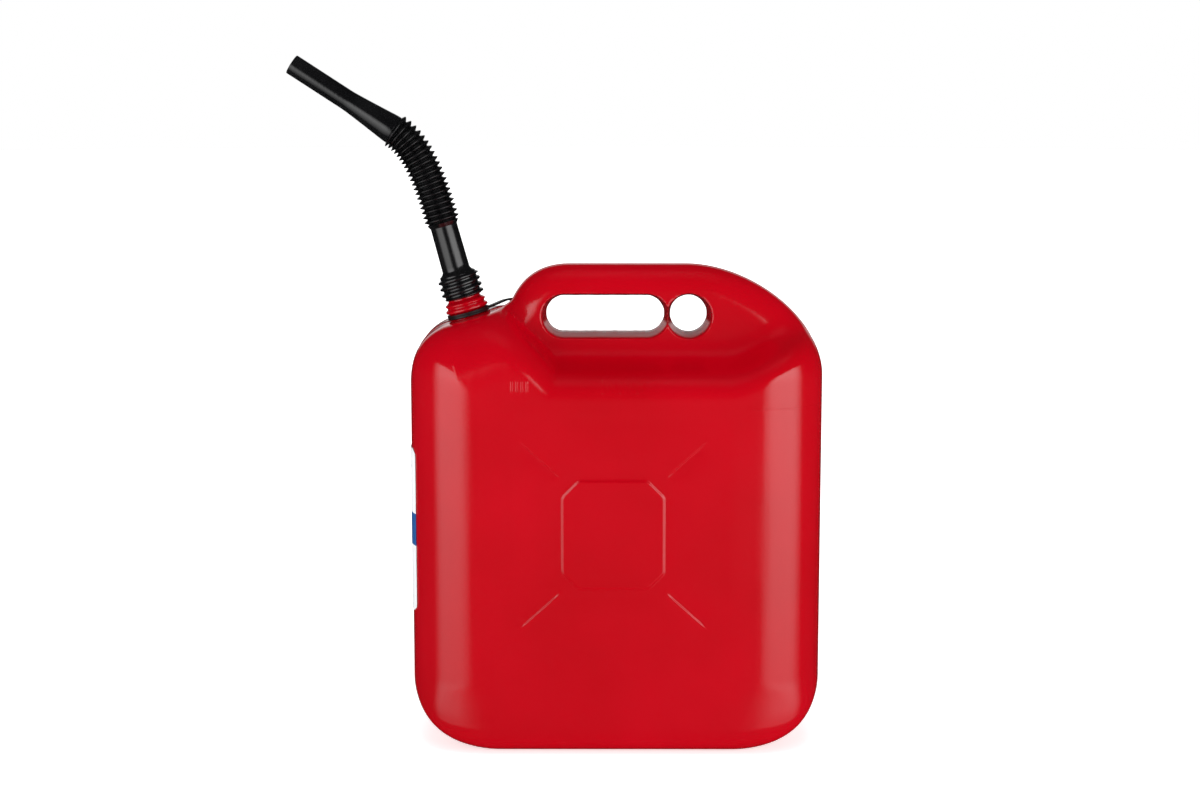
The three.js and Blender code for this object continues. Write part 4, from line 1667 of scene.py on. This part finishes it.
@dataclass
class Studio:
    """Pale floor, two wide softboxes, a top light and the camera in front."""
    floor_radius: float = 14.0
    camera: tuple[float, float, float] = (-0.009, -2.0, 0.61)
    aim: tuple[float, float, float] = (-0.0147, 0.0, 0.3071)
    lens: float = 67.15
    soft_edge: float = 0.34            # share of a softbox's width over which it fades
    dim_foot: float = 0.22             # how bright a softbox is at its foot
    foot_span: tuple[float, float] = (0.12, 0.68)    # heights between dim foot and full light
    light_aim: tuple[float, float, float] = (0.0, 0.0, 0.3)
    fill: float = 0.50                 # soft light from every side of the room
    backdrop_span: tuple[float, float] = (0.86, 0.98)    # how squarely behind the can
    horizon: float = 0.06
    backdrop: float = 0.85             # brightness that the plastic mirrors from behind
    dark: float = 0.012                # and from everywhere else

    def build(self) -> None:
        """Builds the floor, the lights, the world and the camera."""
        self.floor()
        self.softbox("left_softbox", place=(-1.28, -1.28, 0.05), size=(2.6, 1.9), watts=36.0)
        self.softbox("right_softbox", place=(1.30, -1.25, 0.05), size=(3.0, 1.9), watts=52.0)
        overhead = self.softbox("overhead_softbox", place=(0.0, -0.3, 2.2), size=(2.0, 1.4),
                                watts=44.0)
        overhead.visible_glossy = False
        self.world()
        data = bpy.data.cameras.new("camera")
        data.lens = self.lens
        data.clip_end = 60
        bpy.context.scene.camera = self.aimed("camera", data, self.camera, self.aim)
        bpy.context.scene.view_settings.view_transform = "Standard"

    def aimed(self, name: str, data: bpy.types.ID, place: Sequence[float],
              aim: Sequence[float]) -> bpy.types.Object:
        """Stands a light or a camera in the room.

        Args:
            name: Name of the object.
            data: Its light or camera.
            place: Where it stands, in metres.
            aim: Where it looks, in metres.

        Returns:
            The new object, in the scene.
        """
        thing = bpy.data.objects.new(name, data)
        thing.location = place
        look = Vector(aim) - Vector(place)
        thing.rotation_euler = look.to_track_quat("-Z", "Y").to_euler()
        bpy.context.scene.collection.objects.link(thing)
        return thing

    def floor(self) -> None:
        """Wide round floor that leaves no shadow and no mirror image on the can."""
        mesh = bpy.data.meshes.new("floor")
        work = bmesh.new()
        bmesh.ops.create_circle(work, cap_ends=True, segments=96, radius=self.floor_radius)
        work.to_mesh(mesh)
        work.free()
        mesh.materials.append(PressedLaminate().material())
        floor = bpy.data.objects.new("floor", mesh)
        floor.visible_glossy = False
        floor.visible_shadow = False
        bpy.context.scene.collection.objects.link(floor)

    def softbox(self, name: str, place: Sequence[float], size: tuple[float, float],
                watts: float) -> bpy.types.Object:
        """Adds one area light that looks at the middle of the can.

        Args:
            name: Name of the light.
            place: Where it stands, in metres.
            size: Its width and height in metres.
            watts: Its power.

        Returns:
            The light, brightest at its middle and top.
        """
        data = bpy.data.lights.new(name, "AREA")
        data.shape = "RECTANGLE"
        data.size, data.size_y = size
        data.energy = watts
        data.use_nodes = True
        tree = data.node_tree
        tree.nodes.clear()
        spot = add_node(tree, "SeparateXYZ", {
            0: add_node(tree, "NewGeometry").outputs["Parametric"]})
        edge = add_node(tree, "Math", {0: add_node(tree, "Math", {
            0: spot.outputs[0], 1: 0.5}, operation="SUBTRACT").outputs[0]},
            operation="ABSOLUTE")
        aside = add_node(tree, "MapRange", {
            "Value": edge.outputs[0], "From Min": 0.5, "From Max": 0.5 - self.soft_edge},
            interpolation_type="SMOOTHSTEP")
        rise = add_node(tree, "MapRange", {
            "Value": spot.outputs[1], "From Min": self.foot_span[0],
            "From Max": self.foot_span[1], "To Min": self.dim_foot, "To Max": 1.0})
        power = add_node(tree, "Math", {
            0: aside.outputs[0], 1: rise.outputs[0]}, operation="MULTIPLY")
        glow = add_node(tree, "Emission", {"Strength": power.outputs[0]})
        add_node(tree, "OutputLight", {"Surface": glow.outputs[0]})
        return self.aimed(name, data, place, self.light_aim)

    def world(self) -> None:
        """White room seen straight on, bright behind the can and dark in front of it."""
        world = bpy.data.worlds.new("studio_room")
        bpy.context.scene.world = world
        world.use_nodes = True
        tree = world.node_tree
        tree.nodes.clear()
        way = add_node(tree, "SeparateXYZ", {
            0: add_node(tree, "TexCoord").outputs["Generated"]})
        behind = add_node(tree, "MapRange", {
            "Value": way.outputs[1], "From Min": self.backdrop_span[0],
            "From Max": self.backdrop_span[1]}, interpolation_type="SMOOTHSTEP")
        above = add_node(tree, "MapRange", {
            "Value": way.outputs[2], "From Min": 0.0, "From Max": self.horizon})
        backdrop = add_node(tree, "Math", {
            0: behind.outputs["Result"], 1: above.outputs["Result"]}, operation="MULTIPLY")
        room = add_node(tree, "Math", {
            0: backdrop.outputs[0], 1: self.backdrop, 2: self.dark}, operation="MULTIPLY_ADD")
        ray = add_node(tree, "LightPath")
        mirrored = add_node(tree, "Mix", {
            0: ray.outputs["Is Glossy Ray"], 2: self.fill, 3: room.outputs[0]})
        seen = add_node(tree, "Mix", {
            0: ray.outputs["Is Camera Ray"], 2: mirrored.outputs[0], 3: 1.0})
        shade = add_node(tree, "Background", {
            "Color": linear("#ffffff"), "Strength": seen.outputs[0]})
        add_node(tree, "OutputWorld", {"Surface": shade.outputs[0]})
        world.cycles.sampling_method = "NONE"


def main() -> None:
    """Builds the object and the studio, and logs the name of every piece."""
    logging.basicConfig(level=logging.INFO, format="%(name)s: %(message)s")
    Studio().build()
    for maker in (CanBody(), SideLabel(), Spout(), Tether(), Cap()):
        made = maker.build()
        for piece in made if isinstance(made, list) else [made]:
            LOG.info("%s stands as %s", type(maker).__name__, piece.name)


if __name__ == "__main__":
    main()
